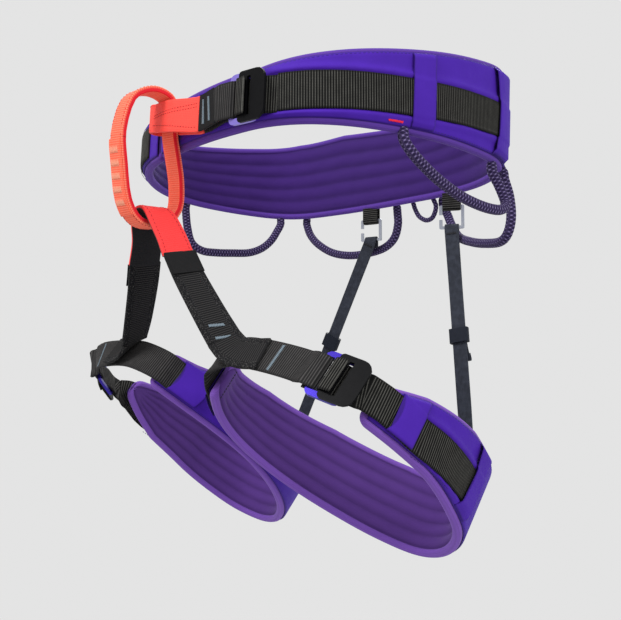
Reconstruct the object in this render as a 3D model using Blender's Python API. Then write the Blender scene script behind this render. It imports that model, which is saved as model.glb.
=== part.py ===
"""A climbing harness: a padded waist belt, a belay loop, two adjustable leg loops and their small parts.

The wearer faces -Y, the wearer's left is +X and +Z is up. The origin is the centre of the waist opening.
Lengths are in millimetres until a mesh is made, which is in metres.
"""

import math

import bmesh
import bpy
from mathutils import Matrix, Vector

METRES = 0.001
GAP = 0.4  # clearance between pieces that touch

WEB_WIDTH = 30.0
WEB_THICK = 2.0
PAD_THICK = 9.0
SHELL_THICK = 1.2
COVER_THICK = 1.0
RIM = 4.0  # how far the lining stands past the shell's edge

SHELL_OUT = PAD_THICK / 2 + GAP + SHELL_THICK / 2
WEB_OUT = SHELL_OUT + SHELL_THICK / 2 + GAP + WEB_THICK / 2
COVER_OUT = WEB_OUT + WEB_THICK / 2 + GAP + COVER_THICK / 2

# The belt's outline seen from above, anticlockwise from the centre of the front.
BELT_OUTLINE = [
    (0, -146), (45, -146), (85, -142), (122, -134), (150, -117), (170, -90), (182, -55), (187, -15),
    (184, 25), (172, 70), (145, 104), (100, 125), (50, 130), (0, 127), (-50, 122), (-100, 114),
    (-150, 100), (-175, 75), (-184, 35), (-184, -5), (-177, -39), (-158, -75), (-127, -106), (-88, -130),
    (-45, -143),
]
BELT_DROP = -36.0  # height of the belt's lower edge over the centre
BELT_SLOPE = 0.05  # the lower edge is higher at the front
# Height of the pad, against the share of the way from the front round to the back.
BELT_HEIGHTS = [(0, 46), (0.22, 49), (0.31, 57), (0.42, 67), (0.51, 75), (0.58, 81), (0.68, 89), (0.8, 92), (1, 83)]
BELT_OPENING = 2.0  # the pad's ends nearly meet behind the upper tie-in
BELT_START = -24.0  # the pad's left end, measured along the outline

# Each leg loop stands in a tilted plane: across, back-and-down, and up along the thigh. Both are given as
# on the wearer's left. "outline" is the pad's, anticlockwise from the outer front end to the inner front end,
# "strap" is the free webbing across the front of the thigh, "buckle" is which of its points the buckle is on,
# "twist" is how many degrees it is turned about the strap's run,
# "join" is how far past the pad's end the webbing lies on the pad, "rise" is how far that end's lower edge
# curls up, and "anchor" is where the elastic is sewn on.
LEG_ORIGIN = Vector((118, -50, -308))
LEGS = {
    "left": {
        "across": (0.992, 0, 0.129),
        "up": (-0.101, 0.622, 0.777),
        "outline": [
            (87, -68), (92, -30), (91, 5), (78, 42), (58, 78), (30, 103), (0, 115), (-28, 110),
            (-55, 82), (-75, 45), (-88, 8), (-93, -30), (-88, -66), (-72, -96), (-45, -122),
        ],
        "strap": [
            (-42, -135, 26), (-16, -135, 29.5), (10, -128, 28), (35, -117, 26), (56, -107, 23),
            (75, -95, 20), (90, -80, 20),
        ],
        "buckle": 5,
        "twist": 0,
        "join": 10,
        "rise": 0,
        "anchor": 226,
    },
    "right": {
        "across": (1, 0, 0),
        "up": (0, 0.625, 0.781),
        "outline": [
            (60, -86), (75, -57), (82, -26), (88, 8), (95, 42), (92, 75), (78, 106), (46, 123),
            (10, 118), (-24, 98), (-53, 72), (-77, 40), (-91, 8), (-95, -20), (-91, -50), (-80, -84),
            (-66, -124),
        ],
        "strap": [
            (-56, -137, 21), (-30, -141, 23), (4, -143, 22), (34, -142, 20), (58, -133, 18), (72, -116, 17),
            (77, -96, 16),
        ],
        "buckle": 5,
        "twist": 50,
        "join": 20,
        "rise": 14,
        "anchor": 222,
    },
}
LEG_HEIGHTS = [(0, 34), (0.08, 52), (0.2, 67), (0.35, 75), (0.55, 77), (0.7, 72), (0.85, 59), (0.95, 43), (1, 38)]
LEG_STEP = 10.0  # length between the sections of everything on a leg loop
BELT_STEP = 12.0  # the same on the belt

# The belay loop's middle line, in front-to-back and height: it hangs through the upper tie-in's eye.
BELAY_ROUTE = [
    (-206, -20), (-203, -46), (-197, -76), (-184, -92.5), (-162, -92.5), (-149.5, -79), (-149.5, -57),
    (-153.5, -38), (-158.2, -19), (-159.5, -4), (-160.5, 9), (-168, 16.5), (-183, 18), (-199, 8),
]
BELAY_LEAN = 0.12  # it stands further to the wearer's left at the top
BELAY_SIDE = 13.5  # how far left of the middle it is at height 0
BELAY_TWIST = 6.0
BELAY_WIDTH = 19.0
BELAY_THICK = 5.0

# The lower tie-in is a saddle of webbing over the bottom of the belay loop.
SADDLE = [
    (-33, -160, -124), (-22, -163, -104), (-11, -170, -84.5), (2, -172, -79.5), (14, -170, -84.5),
    (23, -163, -104),
    (29.5, -159, -121),
]
SADDLE_WIDTHS = [(0, 29), (0.25, 27), (0.5, 23), (0.75, 28), (1, 30)]
RISER = [(30.9, -158, -122.8), (42, -154, -142), (65, -147.5, -174), (81, -143.5, -194)]
TIE_IN_WIDTH = 24.0
TIE_IN_THICK = 3.4
RISER_THICK = 3.4

# The buckles: a frame with a bar at each end, and a plate that lies on its rear half.
FRAME_LENGTH = 30.0
FRAME_HEIGHT = 41.0
FRAME_THICK = 2.6
FRAME_BAR = 4.0
BUCKLE_SLOT = 31.0
PLATE_START = -3.0
PLATE_END = 25.0
PLATE_BAR = 9.0
PLATE_THICK = 2.2
PLATE_RISE = FRAME_THICK / 2 + GAP + PLATE_THICK / 2
FOLD_GAP = 0.6

# The rear hangers: where along the belt each hangs, and which way its width is turned.
HANGERS = {"left": {"along": 486, "turn": 36}, "right": {"along": 602, "turn": 22}}
TAB_WIDTH = 18.0
TAB_THICK = 1.6
HOOK_TOP = 10.5  # the hook's top edge under the belt's lower edge
HOOK_LENGTH = 24.0
HOOK_WIDTH = 25.0
HOOK_BAR = 3.0
HOOK_THICK = 1.8
SLIDER_LENGTH = 14.0
SLIDER_SHARE = 0.43

CORD_RADIUS = 4.5
ELASTIC_WIDTH = 14.0
ELASTIC_THICK = 1.6


def material(name, colour, roughness, metallic=0.0):
    made = bpy.data.materials.new(name)
    made.use_nodes = True
    shader = made.node_tree.nodes["Principled BSDF"]
    shader.inputs["Base Color"].default_value = (*colour, 1)
    shader.inputs["Roughness"].default_value = roughness
    shader.inputs["Metallic"].default_value = metallic
    return made


def smooth(points, steps, closed=False):
    """A Catmull-Rom curve through the points, with `steps` pieces to each span."""
    points = [Vector(p) for p in points]
    count = len(points)
    if not closed:
        points = [2 * points[0] - points[1], *points, 2 * points[-1] - points[-2]]
    curve = []
    for i in range(count if closed else count - 1):
        if closed:
            a, b, c, d = (points[(i + k) % count] for k in (-1, 0, 1, 2))
        else:
            a, b, c, d = points[i : i + 4]
        for k in range(steps):
            t = k / steps
            curve.append(0.5 * (2 * b + (c - a) * t + (2 * a - 5 * b + 4 * c - d) * t**2
                                + (3 * b - a - 3 * c + d) * t**3))
    if not closed:
        curve.append(points[-2])
    return curve


def ramp(table, share):
    """The value of a table of (share, value) pairs, with smooth steps between them."""
    for (x0, y0), (x1, y1) in zip(table, table[1:]):
        if share <= x1:
            t = max(0.0, (share - x0) / (x1 - x0))
            return y0 + (y1 - y0) * t
    return table[-1][1]


class Wall:
    """A wall that stands on a smooth outline in a plane, measured along, out of and up the wall."""

    def __init__(self, origin, across, up, outline, closed, heights):
        back = up.cross(across)
        self.origin, self.across, self.back, self.up = origin, across.normalized(), back.normalized(), up.normalized()
        self.outline = smooth([Vector(p) for p in outline], 8, closed)
        if closed:
            self.outline.append(self.outline[0].copy())
        self.closed = closed
        self.heights = heights
        self.marks = [0.0]
        for a, b in zip(self.outline, self.outline[1:]):
            self.marks.append(self.marks[-1] + (b - a).length)
        self.length = self.marks[-1]

    def flat(self, along):
        """The point of the outline at this length, in the plane."""
        if self.closed:
            along %= self.length
        along = min(max(along, 0.0), self.length)
        for i in range(len(self.marks) - 1):
            if along <= self.marks[i + 1]:
                t = (along - self.marks[i]) / (self.marks[i + 1] - self.marks[i])
                return self.outline[i].lerp(self.outline[i + 1], t)
        return self.outline[-1]

    def out(self, along):
        """The outward direction at this length, in the plane."""
        reach = 4.0
        low, high = along - reach, along + reach
        if not self.closed:
            low, high = max(low, 0.0), min(high, self.length)
        run = self.flat(high) - self.flat(low)
        return Vector((run.y, -run.x)).normalized()

    @staticmethod
    def marks_between(start, end, step):
        """The lengths that every band on the wall has sections at, so that their faces stay parallel."""
        return [step * i for i in range(math.ceil(start / step), math.floor(end / step) + 1)]

    def place(self, flat, height):
        return self.origin + flat.x * self.across + flat.y * self.back + height * self.up

    def point(self, along, out, height):
        return self.place(self.flat(along) + out * self.out(along), height)

    def top(self, along):
        share = along / self.length
        if self.closed:
            share = 1 - abs(2 * (share % 1) - 1)
        return ramp(self.heights, share)


def mesh_object(name, points, faces, look, mirrored=False):
    """A mesh from points in millimetres. A mirrored one is on the wearer's other side."""
    side = -1 if mirrored else 1
    mesh = bpy.data.meshes.new(name)
    mesh.from_pydata([(side * p.x * METRES, p.y * METRES, p.z * METRES) for p in points], [], faces)
    work = bmesh.new()
    work.from_mesh(mesh)
    bmesh.ops.recalc_face_normals(work, faces=work.faces)
    work.to_mesh(mesh)
    work.free()
    mesh.materials.append(look)
    mesh.shade_smooth()
    mesh.set_sharp_from_angle(angle=math.radians(35))
    made = bpy.data.objects.new(name, mesh)
    bpy.context.scene.collection.objects.link(made)
    return made


def loft(name, sections, look, closed=False, mirrored=False):
    """A solid through equal sections. Each runs anticlockwise seen from the end it came from."""
    size = len(sections[0])
    points = [p for section in sections for p in section]
    faces = []
    for i in range(len(sections) if closed else len(sections) - 1):
        here, there = i * size, (i + 1) % len(sections) * size
        for k in range(size):
            after = (k + 1) % size
            faces.append((here + k, here + after, there + after, there + k))
    if not closed:
        faces.append(tuple(reversed(range(size))))
        faces.append(tuple(range(len(points) - size, len(points))))
    made = mesh_object(name, points, faces, look, mirrored)
    return made


def band(name, wall, start, end, out, thick, low, high, look, step=BELT_STEP, bevel=0.0, tip=0.0, mirrored=False):
    """A band on a wall. low and high give its edges' heights; a tip rounds its ends by that radius."""
    turns = (0.0, 0.12, 0.4) if tip else (0.0,)
    places = [start + tip * t for t in turns] + wall.marks_between(start + tip + 1, end - tip - 1, step)
    places += [end - tip * t for t in reversed(turns)]
    sections = []
    for along in places:
        inset = 0.0
        if tip:
            near = min(1.0, min(along - start, end - along) / tip)
            inset = tip * (1 - math.sqrt(max(0.0, 1 - (1 - near) ** 2))) * 0.8
        a, b = low(along) + inset, high(along) - inset
        inner, outer = out - thick / 2, out + thick / 2
        if bevel:
            corners = [(inner, a + bevel), (inner + bevel, a), (outer - bevel, a), (outer, a + bevel),
                       (outer, b - bevel), (outer - bevel, b), (inner + bevel, b), (inner, b - bevel)]
        else:
            corners = [(inner, a), (outer, a), (outer, b), (inner, b)]
        sections.append([wall.point(along, o, h) for o, h in corners])
    return loft(name, sections, look, mirrored=mirrored)


def ribbon(name, path, across, width, thick, look, closed=False, mirrored=False):
    """A strip of webbing along a path. across is its width's direction; it and width may be one a point."""
    count = len(path)
    ways = across if isinstance(across, list) else [across] * count
    sections = []
    for i, centre in enumerate(path):
        before = path[(i - 1) % count] if closed else path[max(i - 1, 0)]
        after = path[(i + 1) % count] if closed else path[min(i + 1, count - 1)]
        run = (after - before).normalized()
        way = (ways[i] - ways[i].dot(run) * run).normalized()
        normal = run.cross(way)
        # At a bend the section is widened along the normal, so that the strip keeps its thickness.
        back, ahead = (centre - before), (after - centre)
        turn = back.angle(ahead) if back.length > 1e-6 and ahead.length > 1e-6 else 0.0
        half = thick / 2 / max(0.5, math.cos(turn / 2))
        w, n = way * (width[i] if isinstance(width, list) else width) / 2, normal * half
        sections.append([centre - w - n, centre + w - n, centre + w + n, centre - w + n])
    return loft(name, sections, look, closed=closed, mirrored=mirrored)


def cord(name, points, radius, look, steps=4, mirrored=False, resolution=2):
    """A round cord with filled ends through the points."""
    side = -1 if mirrored else 1
    route = smooth([Vector(p) for p in points], steps)
    curve = bpy.data.curves.new(name, "CURVE")
    curve.dimensions = "3D"
    curve.bevel_depth = radius * METRES
    curve.bevel_resolution = resolution
    curve.use_fill_caps = True
    spline = curve.splines.new("POLY")
    spline.points.add(len(route) - 1)
    for point, place in zip(spline.points, route):
        point.co = (side * place.x * METRES, place.y * METRES, place.z * METRES, 1)
    curve.materials.append(look)
    made = bpy.data.objects.new(name, curve)
    bpy.context.scene.collection.objects.link(made)
    return made


def rounded(x0, x1, y0, y1, radii, segments=3):
    """A rectangle's outline with a radius at each corner, anticlockwise from the lowest x and y."""
    corners = [(x0, y0, 180), (x1, y0, 270), (x1, y1, 0), (x0, y1, 90)]
    outline = []
    for (x, y, first), r in zip(corners, radii):
        cx, cy = x + (r if x == x0 else -r), y + (r if y == y0 else -r)
        for k in range(segments + 1):
            turn = math.radians(first + 90 * k / segments)
            outline.append((cx + r * math.cos(turn), cy + r * math.sin(turn)))
    return outline


def plate(name, frame, outlines, thick, look, mirrored=False):
    """A flat plate cut from outlines: the first is its edge, and the others are its holes."""
    curve = bpy.data.curves.new(name, "CURVE")
    curve.dimensions = "2D"
    curve.fill_mode = "BOTH"
    curve.extrude = thick / 2 * METRES
    for outline in outlines:
        spline = curve.splines.new("POLY")
        spline.points.add(len(outline) - 1)
        spline.use_cyclic_u = True
        for point, (x, y) in zip(spline.points, outline):
            point.co = (x * METRES, y * METRES, 0, 1)
    curve.materials.append(look)
    made = bpy.data.objects.new(name, curve)
    run, way, normal, origin = frame
    if mirrored:
        # The same plate turned over: its own width and normal change sides with it.
        run, way, normal, origin = (Vector((-v.x, v.y, v.z)) for v in frame)
        normal = -normal
        for spline in curve.splines:
            for point in spline.points:
                point.co.z = 0.0
    turn = Matrix((run, way, normal)).transposed().to_4x4()
    made.matrix_world = Matrix.Translation(origin * METRES) @ turn
    bpy.context.scene.collection.objects.link(made)
    return made


def arc(centre, radius, first, last, segments):
    """Points on an arc in a plane, in degrees from the first axis."""
    turns = [math.radians(first + (last - first) * k / segments) for k in range(segments + 1)]
    return [(centre[0] + radius * math.cos(t), centre[1] + radius * math.sin(t)) for t in turns]


def front_fold():
    """Where the fixed strap folds round a frame's front bar: (along, out) from the frame's centre."""
    bar = -(FRAME_LENGTH - FRAME_BAR) / 2
    reach = FRAME_THICK / 2 + FOLD_GAP + WEB_THICK / 2
    return arc((bar + 1.0, 0), reach, 90, -90, 6)


def rear_fold():
    """Where the free webbing folds round a plate's front bar, from over the plate to under the frame."""
    reach = PLATE_THICK / 2 + FOLD_GAP + WEB_THICK / 2
    over = [(PLATE_START + PLATE_BAR - 0.5, PLATE_RISE + reach + 1.4)]
    turn = arc((PLATE_START + 1.0, PLATE_RISE), reach, 90, 270, 6)
    under = FRAME_THICK / 2 + FOLD_GAP + WEB_THICK / 2
    low = [(PLATE_START + 5.5, PLATE_RISE - reach - 0.6), (FRAME_LENGTH / 2 - 5.5, -under)]
    return over + turn + low + [(FRAME_LENGTH / 2 + 5, -under)]


def buckle(prefix, frame, frame_look, plate_look, mirrored=False):
    run, way, normal, origin = frame
    length, height = FRAME_LENGTH / 2, FRAME_HEIGHT / 2
    hole = BUCKLE_SLOT / 2
    outer = rounded(-length, length, -height, height, (5, 5, 5, 5))
    inner = rounded(-length + FRAME_BAR, length - FRAME_BAR, -hole, hole, (0.4, 0.4, 0.4, 0.4), 1)
    plate(prefix + "_frame", frame, [outer, inner], FRAME_THICK, frame_look, mirrored)
    raised = (run, way, normal, origin + PLATE_RISE * normal)
    edge = rounded(PLATE_START, PLATE_END, -height, height, (3, 9, 9, 3), 4)
    start = PLATE_START + PLATE_BAR
    slot = rounded(start, start + 4.0, -hole, hole, (0.4, 0.4, 0.4, 0.4), 1)
    plate(prefix + "_plate", raised, [edge, slot], PLATE_THICK, plate_look, mirrored)


def make_waist():
    up = Vector((0, BELT_SLOPE, 1)).normalized()
    wall = Wall(Vector((0, 0, BELT_DROP)), Vector((1, 0, 0)), up, BELT_OUTLINE, True, BELT_HEIGHTS)
    return wall


def web_middle(along, wall):
    """Height of the waist webbing's middle over the belt's lower edge."""
    side = min(along % wall.length, wall.length - along % wall.length)
    return ramp([(0, 21), (60, 21), (135, 24), (250, 29), (352, 36.5), (540, 37)], side)


def waist_belt(wall, looks):
    lap = wall.length
    start, end = BELT_START, BELT_START + lap - BELT_OPENING
    band("waist_pad", wall, start, end, 0, PAD_THICK, lambda s: 0.0, wall.top, looks["lining"],
         bevel=2.6, tip=5)
    band("waist_shell", wall, start + 3, end - 3, SHELL_OUT, SHELL_THICK, lambda s: RIM,
         lambda s: wall.top(s) - RIM, looks["shell"], tip=4)

    def low(s):
        return web_middle(s, wall) - WEB_WIDTH / 2

    def high(s):
        return web_middle(s, wall) + WEB_WIDTH / 2

    front, rear = (241.0, 262.0), (339.0, 375.0)
    band("waist_webbing_left", wall, 139, rear[1] - 6, WEB_OUT, WEB_THICK, low, high, looks["webbing"])
    band("waist_webbing_right", wall, lap - rear[1] + 6, lap - 46, WEB_OUT, WEB_THICK, low, high,
         looks["webbing"])
    for side, flip in (("left", False), ("right", True)):
        for part, (a, b) in (("front_keeper", front), ("rear_keeper", rear)):
            if flip:
                a, b = lap - b, lap - a
            band(f"waist_{part}_{side}", wall, a, b, COVER_OUT, COVER_THICK, lambda s: RIM + 1,
                 lambda s: wall.top(s) - RIM - 1, looks["shell"])
    return low, high


def waist_front(wall, looks):
    """The upper tie-in, its stitched strap, and the waist buckle with its webbing."""
    centre = 111.0
    middle = web_middle(centre, wall)

    def put(along, out, lift=0.0):
        return wall.point(along, out, middle + lift)

    frame_out = WEB_OUT + FRAME_THICK / 2 + FOLD_GAP + WEB_THICK / 2
    run = (put(centre + 5, frame_out) - put(centre - 5, frame_out)).normalized()
    normal = run.cross(wall.up)
    frame = (run, wall.up, normal, put(centre, frame_out))
    buckle("waist_buckle", frame, looks["frame"], looks["plate"])

    def local(along, out):
        return frame[3] + along * run + out * normal

    reach = FRAME_THICK / 2 + FOLD_GAP + WEB_THICK / 2
    strap = [put(61.5, frame_out + reach, -3), put(67, frame_out + reach, -3), local(-24, reach)]
    strap += [local(*p) for p in front_fold()]
    strap += [local(-24, -reach), put(67, frame_out - reach, -3), put(61.5, frame_out - reach, -3)]
    ribbon("waist_front_strap", strap, wall.up, WEB_WIDTH, WEB_THICK, looks["stitched"])
    free = [local(*p) for p in rear_fold()] + [put(s, WEB_OUT) for s in (136, 138.5)]
    ribbon("waist_buckle_webbing", free, wall.up, WEB_WIDTH, WEB_THICK, looks["webbing"])

    # The eye of the tie-in: a front layer, a fold, and a back layer against the belt. It rises and narrows
    # towards the fold. Each point is (along, out, lift, width).
    front_out, back_out = WEB_OUT + 17.0, WEB_OUT + 0.6
    fold = (front_out - back_out) / 2
    eye = [(60, frame_out + reach, -3, WEB_WIDTH), (56, frame_out + reach + 0.6, -3, WEB_WIDTH),
           (46, frame_out + 7, -2, 29), (34, front_out - 2, -0.5, 28), (20, front_out, 1.5, 27),
           (4, front_out, 3.5, 25)]
    for t in range(0, 181, 30):
        turn = math.radians(t)
        eye.append((-3 - fold * math.sin(turn), back_out + fold + fold * math.cos(turn), 5.5, TIE_IN_WIDTH))
    eye += [(0, back_out, 4.5, 24), (20, back_out, 2, 26), (40, back_out, -1, 28),
            (56, back_out, -3, WEB_WIDTH), (60, back_out, -3, WEB_WIDTH)]
    path = [put(*p[:3]) for p in eye]
    ribbon("upper_tie_in", path, wall.up, [p[3] for p in eye], WEB_THICK + 0.4, looks["red"])
    return frame


def belay_loop(look):
    route = []
    for p in smooth([Vector(p) for p in BELAY_ROUTE], 3, closed=True):
        route.append(Vector((BELAY_SIDE + BELAY_LEAN * p.y, p.x, p.y)))
    twist = math.radians(BELAY_TWIST)
    ribbon("belay_loop", route, Vector((math.cos(twist), math.sin(twist), 0)), BELAY_WIDTH, BELAY_THICK,
           look, closed=True)


def tie_in_and_risers(looks):
    across = Vector((0, 1, 0))
    saddle = smooth([Vector(p) for p in SADDLE], 3)
    widths = [ramp(SADDLE_WIDTHS, i / (len(saddle) - 1)) for i in range(len(saddle))]
    ribbon("lower_tie_in", saddle, across, widths, TIE_IN_THICK, looks["red"])
    riser = smooth([Vector(p) for p in RISER], 3)
    lean = [across.lerp(Vector((0.05, 0.85, 0.5)), i / (len(riser) - 1)).normalized() for i in range(len(riser))]
    ribbon("leg_riser_left", riser, lean, WEB_WIDTH, RISER_THICK, looks["stitched"])
    last = len(riser) - 1
    other = [p + Vector((3.2, -1, -3)) * (1 - i / last) + Vector((0, -2.8, 2.6)) * i / last for i, p in enumerate(riser)]
    ribbon("leg_riser_right", other, lean, WEB_WIDTH, RISER_THICK, looks["stitched"], mirrored=True)


def leg_loop(side, looks):
    """A leg loop: its pad, shell and keepers, its strap and buckle, and the webbing over its outer side."""
    mirrored = side == "right"
    leg = LEGS[side]
    wall = Wall(LEG_ORIGIN, Vector(leg["across"]), Vector(leg["up"]), leg["outline"], False, LEG_HEIGHTS)
    end = wall.length

    def low(s):
        return leg["rise"] * max(0.0, 1 - s / 65)

    band(f"leg_pad_{side}", wall, 0, end, 0, PAD_THICK, low, wall.top, looks["lining"],
         step=LEG_STEP, bevel=2.6, tip=9, mirrored=mirrored)
    band(f"leg_shell_{side}", wall, 4, end - 4, SHELL_OUT, SHELL_THICK, lambda s: low(s) + RIM,
         lambda s: wall.top(s) - RIM, looks["shell"], step=LEG_STEP, tip=7, mirrored=mirrored)
    for part, a, b in (("front_keeper", leg["join"] + 11, leg["join"] + 33), ("rear_keeper", 113, 139)):
        band(f"leg_{part}_{side}", wall, a, b, COVER_OUT, COVER_THICK, lambda s: low(s) + RIM + 1,
             lambda s: wall.top(s) - RIM - 1, looks["shell"], step=LEG_STEP, mirrored=mirrored)

    # The strap leaves the inner end of the pad, crosses the front, and the buckle joins it to the webbing.
    inner = [wall.point(s, WEB_OUT, 20) for s in wall.marks_between(end - 40, end - 13, LEG_STEP)]
    inner.append(wall.point(end - 2, WEB_OUT + 1.4, 20))
    outer = [wall.point(leg["join"] + s, WEB_OUT + out, web_height(leg["join"] + s))
             for s, out in ((0, 1), (10, 0), (20, 0))]
    free = [wall.place(Vector(p).xy, p[2]) for p in leg["strap"]]
    steps = 4
    route = smooth(inner + free + outer, steps)[: -2 * steps]
    centre = (len(inner) + leg["buckle"]) * steps
    run = (route[centre + 1] - route[centre - 1]).normalized()
    way = (wall.up - wall.up.dot(run) * run).normalized()
    way = Matrix.Rotation(math.radians(leg["twist"]), 3, run) @ way
    normal = run.cross(way)
    frame = (run, way, normal, route[centre])
    buckle(f"leg_buckle_{side}", frame, looks["frame"], looks["plate"], mirrored)

    def local(along, out):
        return frame[3] + along * run + out * normal

    reach = FRAME_THICK / 2 + FOLD_GAP + WEB_THICK / 2
    clear = FRAME_LENGTH / 2 + 9
    strap = [p for p in route[:centre] if (p - frame[3]).length > clear]
    lead = len(strap)
    strap += [local(-20, reach)] + [local(*p) for p in front_fold()] + [local(-20, -reach)]
    bound = len(inner) * steps
    turning = [max(0, i - bound) / (lead - bound) for i in range(lead)]
    ways = [wall.up.lerp(way, t**1.5) for t in turning] + [way] * (len(strap) - lead)
    ribbon(f"leg_strap_{side}", strap, ways, WEB_WIDTH, WEB_THICK, looks["webbing"], mirrored=mirrored)
    free = [local(*p) for p in rear_fold()]
    lead = len(free)
    free += [p for p in route[centre:] if (p - frame[3]).length > PLATE_END]
    bare = len(free)
    free += [wall.point(s, WEB_OUT, web_height(s)) for s in wall.marks_between(leg["join"] + 2, 140, LEG_STEP)]
    ways = [way] * lead + [way.lerp(wall.up, min(1, 2.2 * i / (bare - lead))) for i in range(bare - lead)]
    ways += [wall.up] * (len(free) - bare)
    ribbon(f"leg_webbing_{side}", free, ways, WEB_WIDTH, WEB_THICK, looks["webbing"], mirrored=mirrored)
    return wall


def rear_hangers(side, belt, leg_wall, looks):
    """The tab under the back of the belt, its hook, the elastic riser down to the leg loop, and its slider."""
    hanger = HANGERS[side]
    mirrored = side == "right"
    top = belt.point(hanger["along"], 0, 0)
    turn = math.radians(hanger["turn"])
    way = Vector((math.cos(turn), math.sin(turn), 0))
    up = Vector((0, 0, 1))
    normal = way.cross(up)

    def hung(out, down):
        return top + out * normal - down * up

    fold = HOOK_THICK / 2 + 1 + TAB_THICK / 2
    bar = HOOK_TOP + HOOK_BAR / 2
    loop = [hung(fold, 0.7), *(hung(x, bar + 0.6 - z) for x, z in arc((0, 0), fold, 0, -180, 6)), hung(-fold, 0.7)]
    ribbon(f"rear_tab_{side}", loop, way, TAB_WIDTH, TAB_THICK, looks["webbing"])

    # The hook is a flat ring with a gap in one side.
    low, high, gap = -HOOK_TOP - HOOK_LENGTH, -HOOK_TOP, -HOOK_TOP - HOOK_LENGTH / 2
    half = HOOK_WIDTH / 2
    inner = half - HOOK_BAR
    outline = [
        (-half, gap - 2.5), (-half, low + 1), (1 - half, low), (half - 1, low), (half, low + 1), (half, high - 1),
        (half - 1, high), (1 - half, high), (-half, high - 1), (-half, gap + 2.5), (-inner, gap + 2.5),
        (-inner, high - HOOK_BAR), (inner, high - HOOK_BAR), (inner, low + HOOK_BAR), (-inner, low + HOOK_BAR),
        (-inner, gap - 2.5),
    ]
    plate(f"riser_hook_{side}", (way, up, normal, top), [outline], HOOK_THICK, looks["hook"])

    # The elastic's tail hangs behind the hook's lower bar, and its long run goes to the leg loop.
    fold = HOOK_THICK / 2 + 0.5 + ELASTIC_THICK / 2
    bar = HOOK_TOP + HOOK_LENGTH - HOOK_BAR / 2
    head = [hung(-fold, bar + 9)] + [hung(x, bar - 0.6 - z) for x, z in arc((0, 0), fold, 180, 0, 6)]
    head.append(hung(fold + 0.4, bar + 2))
    foot_along = LEGS[side]["anchor"]
    foot = leg_wall.point(foot_along, WEB_OUT + 1, leg_wall.top(foot_along) - 2.6)
    tangent = (leg_wall.point(foot_along - 4, 0, 0) - leg_wall.point(foot_along + 4, 0, 0)).normalized()
    if mirrored:
        foot, tangent = Vector((-foot.x, foot.y, foot.z)), Vector((tangent.x, -tangent.y, -tangent.z))
    run = (foot - head[-1])
    shares = [i / 16 for i in range(1, 17)]
    path = head + [head[-1] + run * t for t in shares]
    middle = way.lerp(tangent, 0.35).normalized()
    ways = [way] * len(head)
    for t in shares:
        ways.append(way.lerp(middle, min(1, t / 0.22)) if t < 0.5 else middle.lerp(tangent, max(0, (t - 0.7) / 0.3)))
    ribbon(f"elastic_riser_{side}", path, ways, ELASTIC_WIDTH, ELASTIC_THICK, looks["elastic"])
    band(f"elastic_anchor_{side}", leg_wall, foot_along - 10, foot_along + 10, WEB_OUT, WEB_THICK, lambda s: 42,
         lambda s: leg_wall.top(s) - 5, looks["webbing"], step=LEG_STEP, mirrored=mirrored)

    # The slider is a flat tube round the elastic.
    along = run.normalized()
    across = (middle - middle.dot(along) * along).normalized()
    outline = rounded(-9.5, 9.5, -3.8, 3.8, (2, 2, 2, 2), 2)
    hole = rounded(-7.7, 7.7, -1.6, 1.6, (0.4, 0.4, 0.4, 0.4), 1)
    seat = (across, along.cross(across), along, head[-1] + run * SLIDER_SHARE)
    plate(f"riser_slider_{side}", seat, [outline, hole], SLIDER_LENGTH, looks["plate"])


def web_height(along):
    """Height of the leg webbing's middle over its pad's lower edge."""
    return ramp([(0, 20), (18, 21), (45, 18.5), (110, 26), (160, 29)], along)


GEAR_LOOPS = {
    "gear_loop_front_left": [
        (187, -46, -38), (189, -41, -47), (190, -29, -57), (190, -12, -67), (189, 8, -75), (188, 27, -80),
        (187, 48, -83), (185, 66, -82), (182, 75, -75), (178, 72, -60), (174, 68, -48),
    ],
    "gear_loop_rear_left": [
        (157, 102, -47), (158, 107, -62), (158, 109, -80), (152, 111, -94), (139, 115, -100), (114, 123, -98),
        (88, 132, -93), (60, 142.5, -84), (46, 146, -70), (39, 147, -58), (37, 143, -49),
    ],
    "gear_loop_front_right": [
        (-184, -38, -40), (-185, -35, -60), (-184, -30, -76), (-182, -18, -84), (-181, 0, -85), (-180, 20, -84),
        (-179, 42, -82), (-177, 58, -76), (-175, 70, -66), (-174, 78, -54), (-173, 82, -46),
    ],
    "gear_loop_rear_right": [
        (-153, 106, -47), (-148, 108, -60), (-136, 111, -72), (-117, 117, -83), (-93, 124, -88), (-67, 131.5, -87),
        (-47, 135.5, -83), (-33, 137, -74), (-27, 137, -60), (-27, 136.5, -48),
    ],
}
HAUL_LOOP = [(2, 136, -48), (7, 137, -56), (16, 138, -61), (25, 138, -60), (31, 137, -54), (33, 136, -48)]


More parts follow.
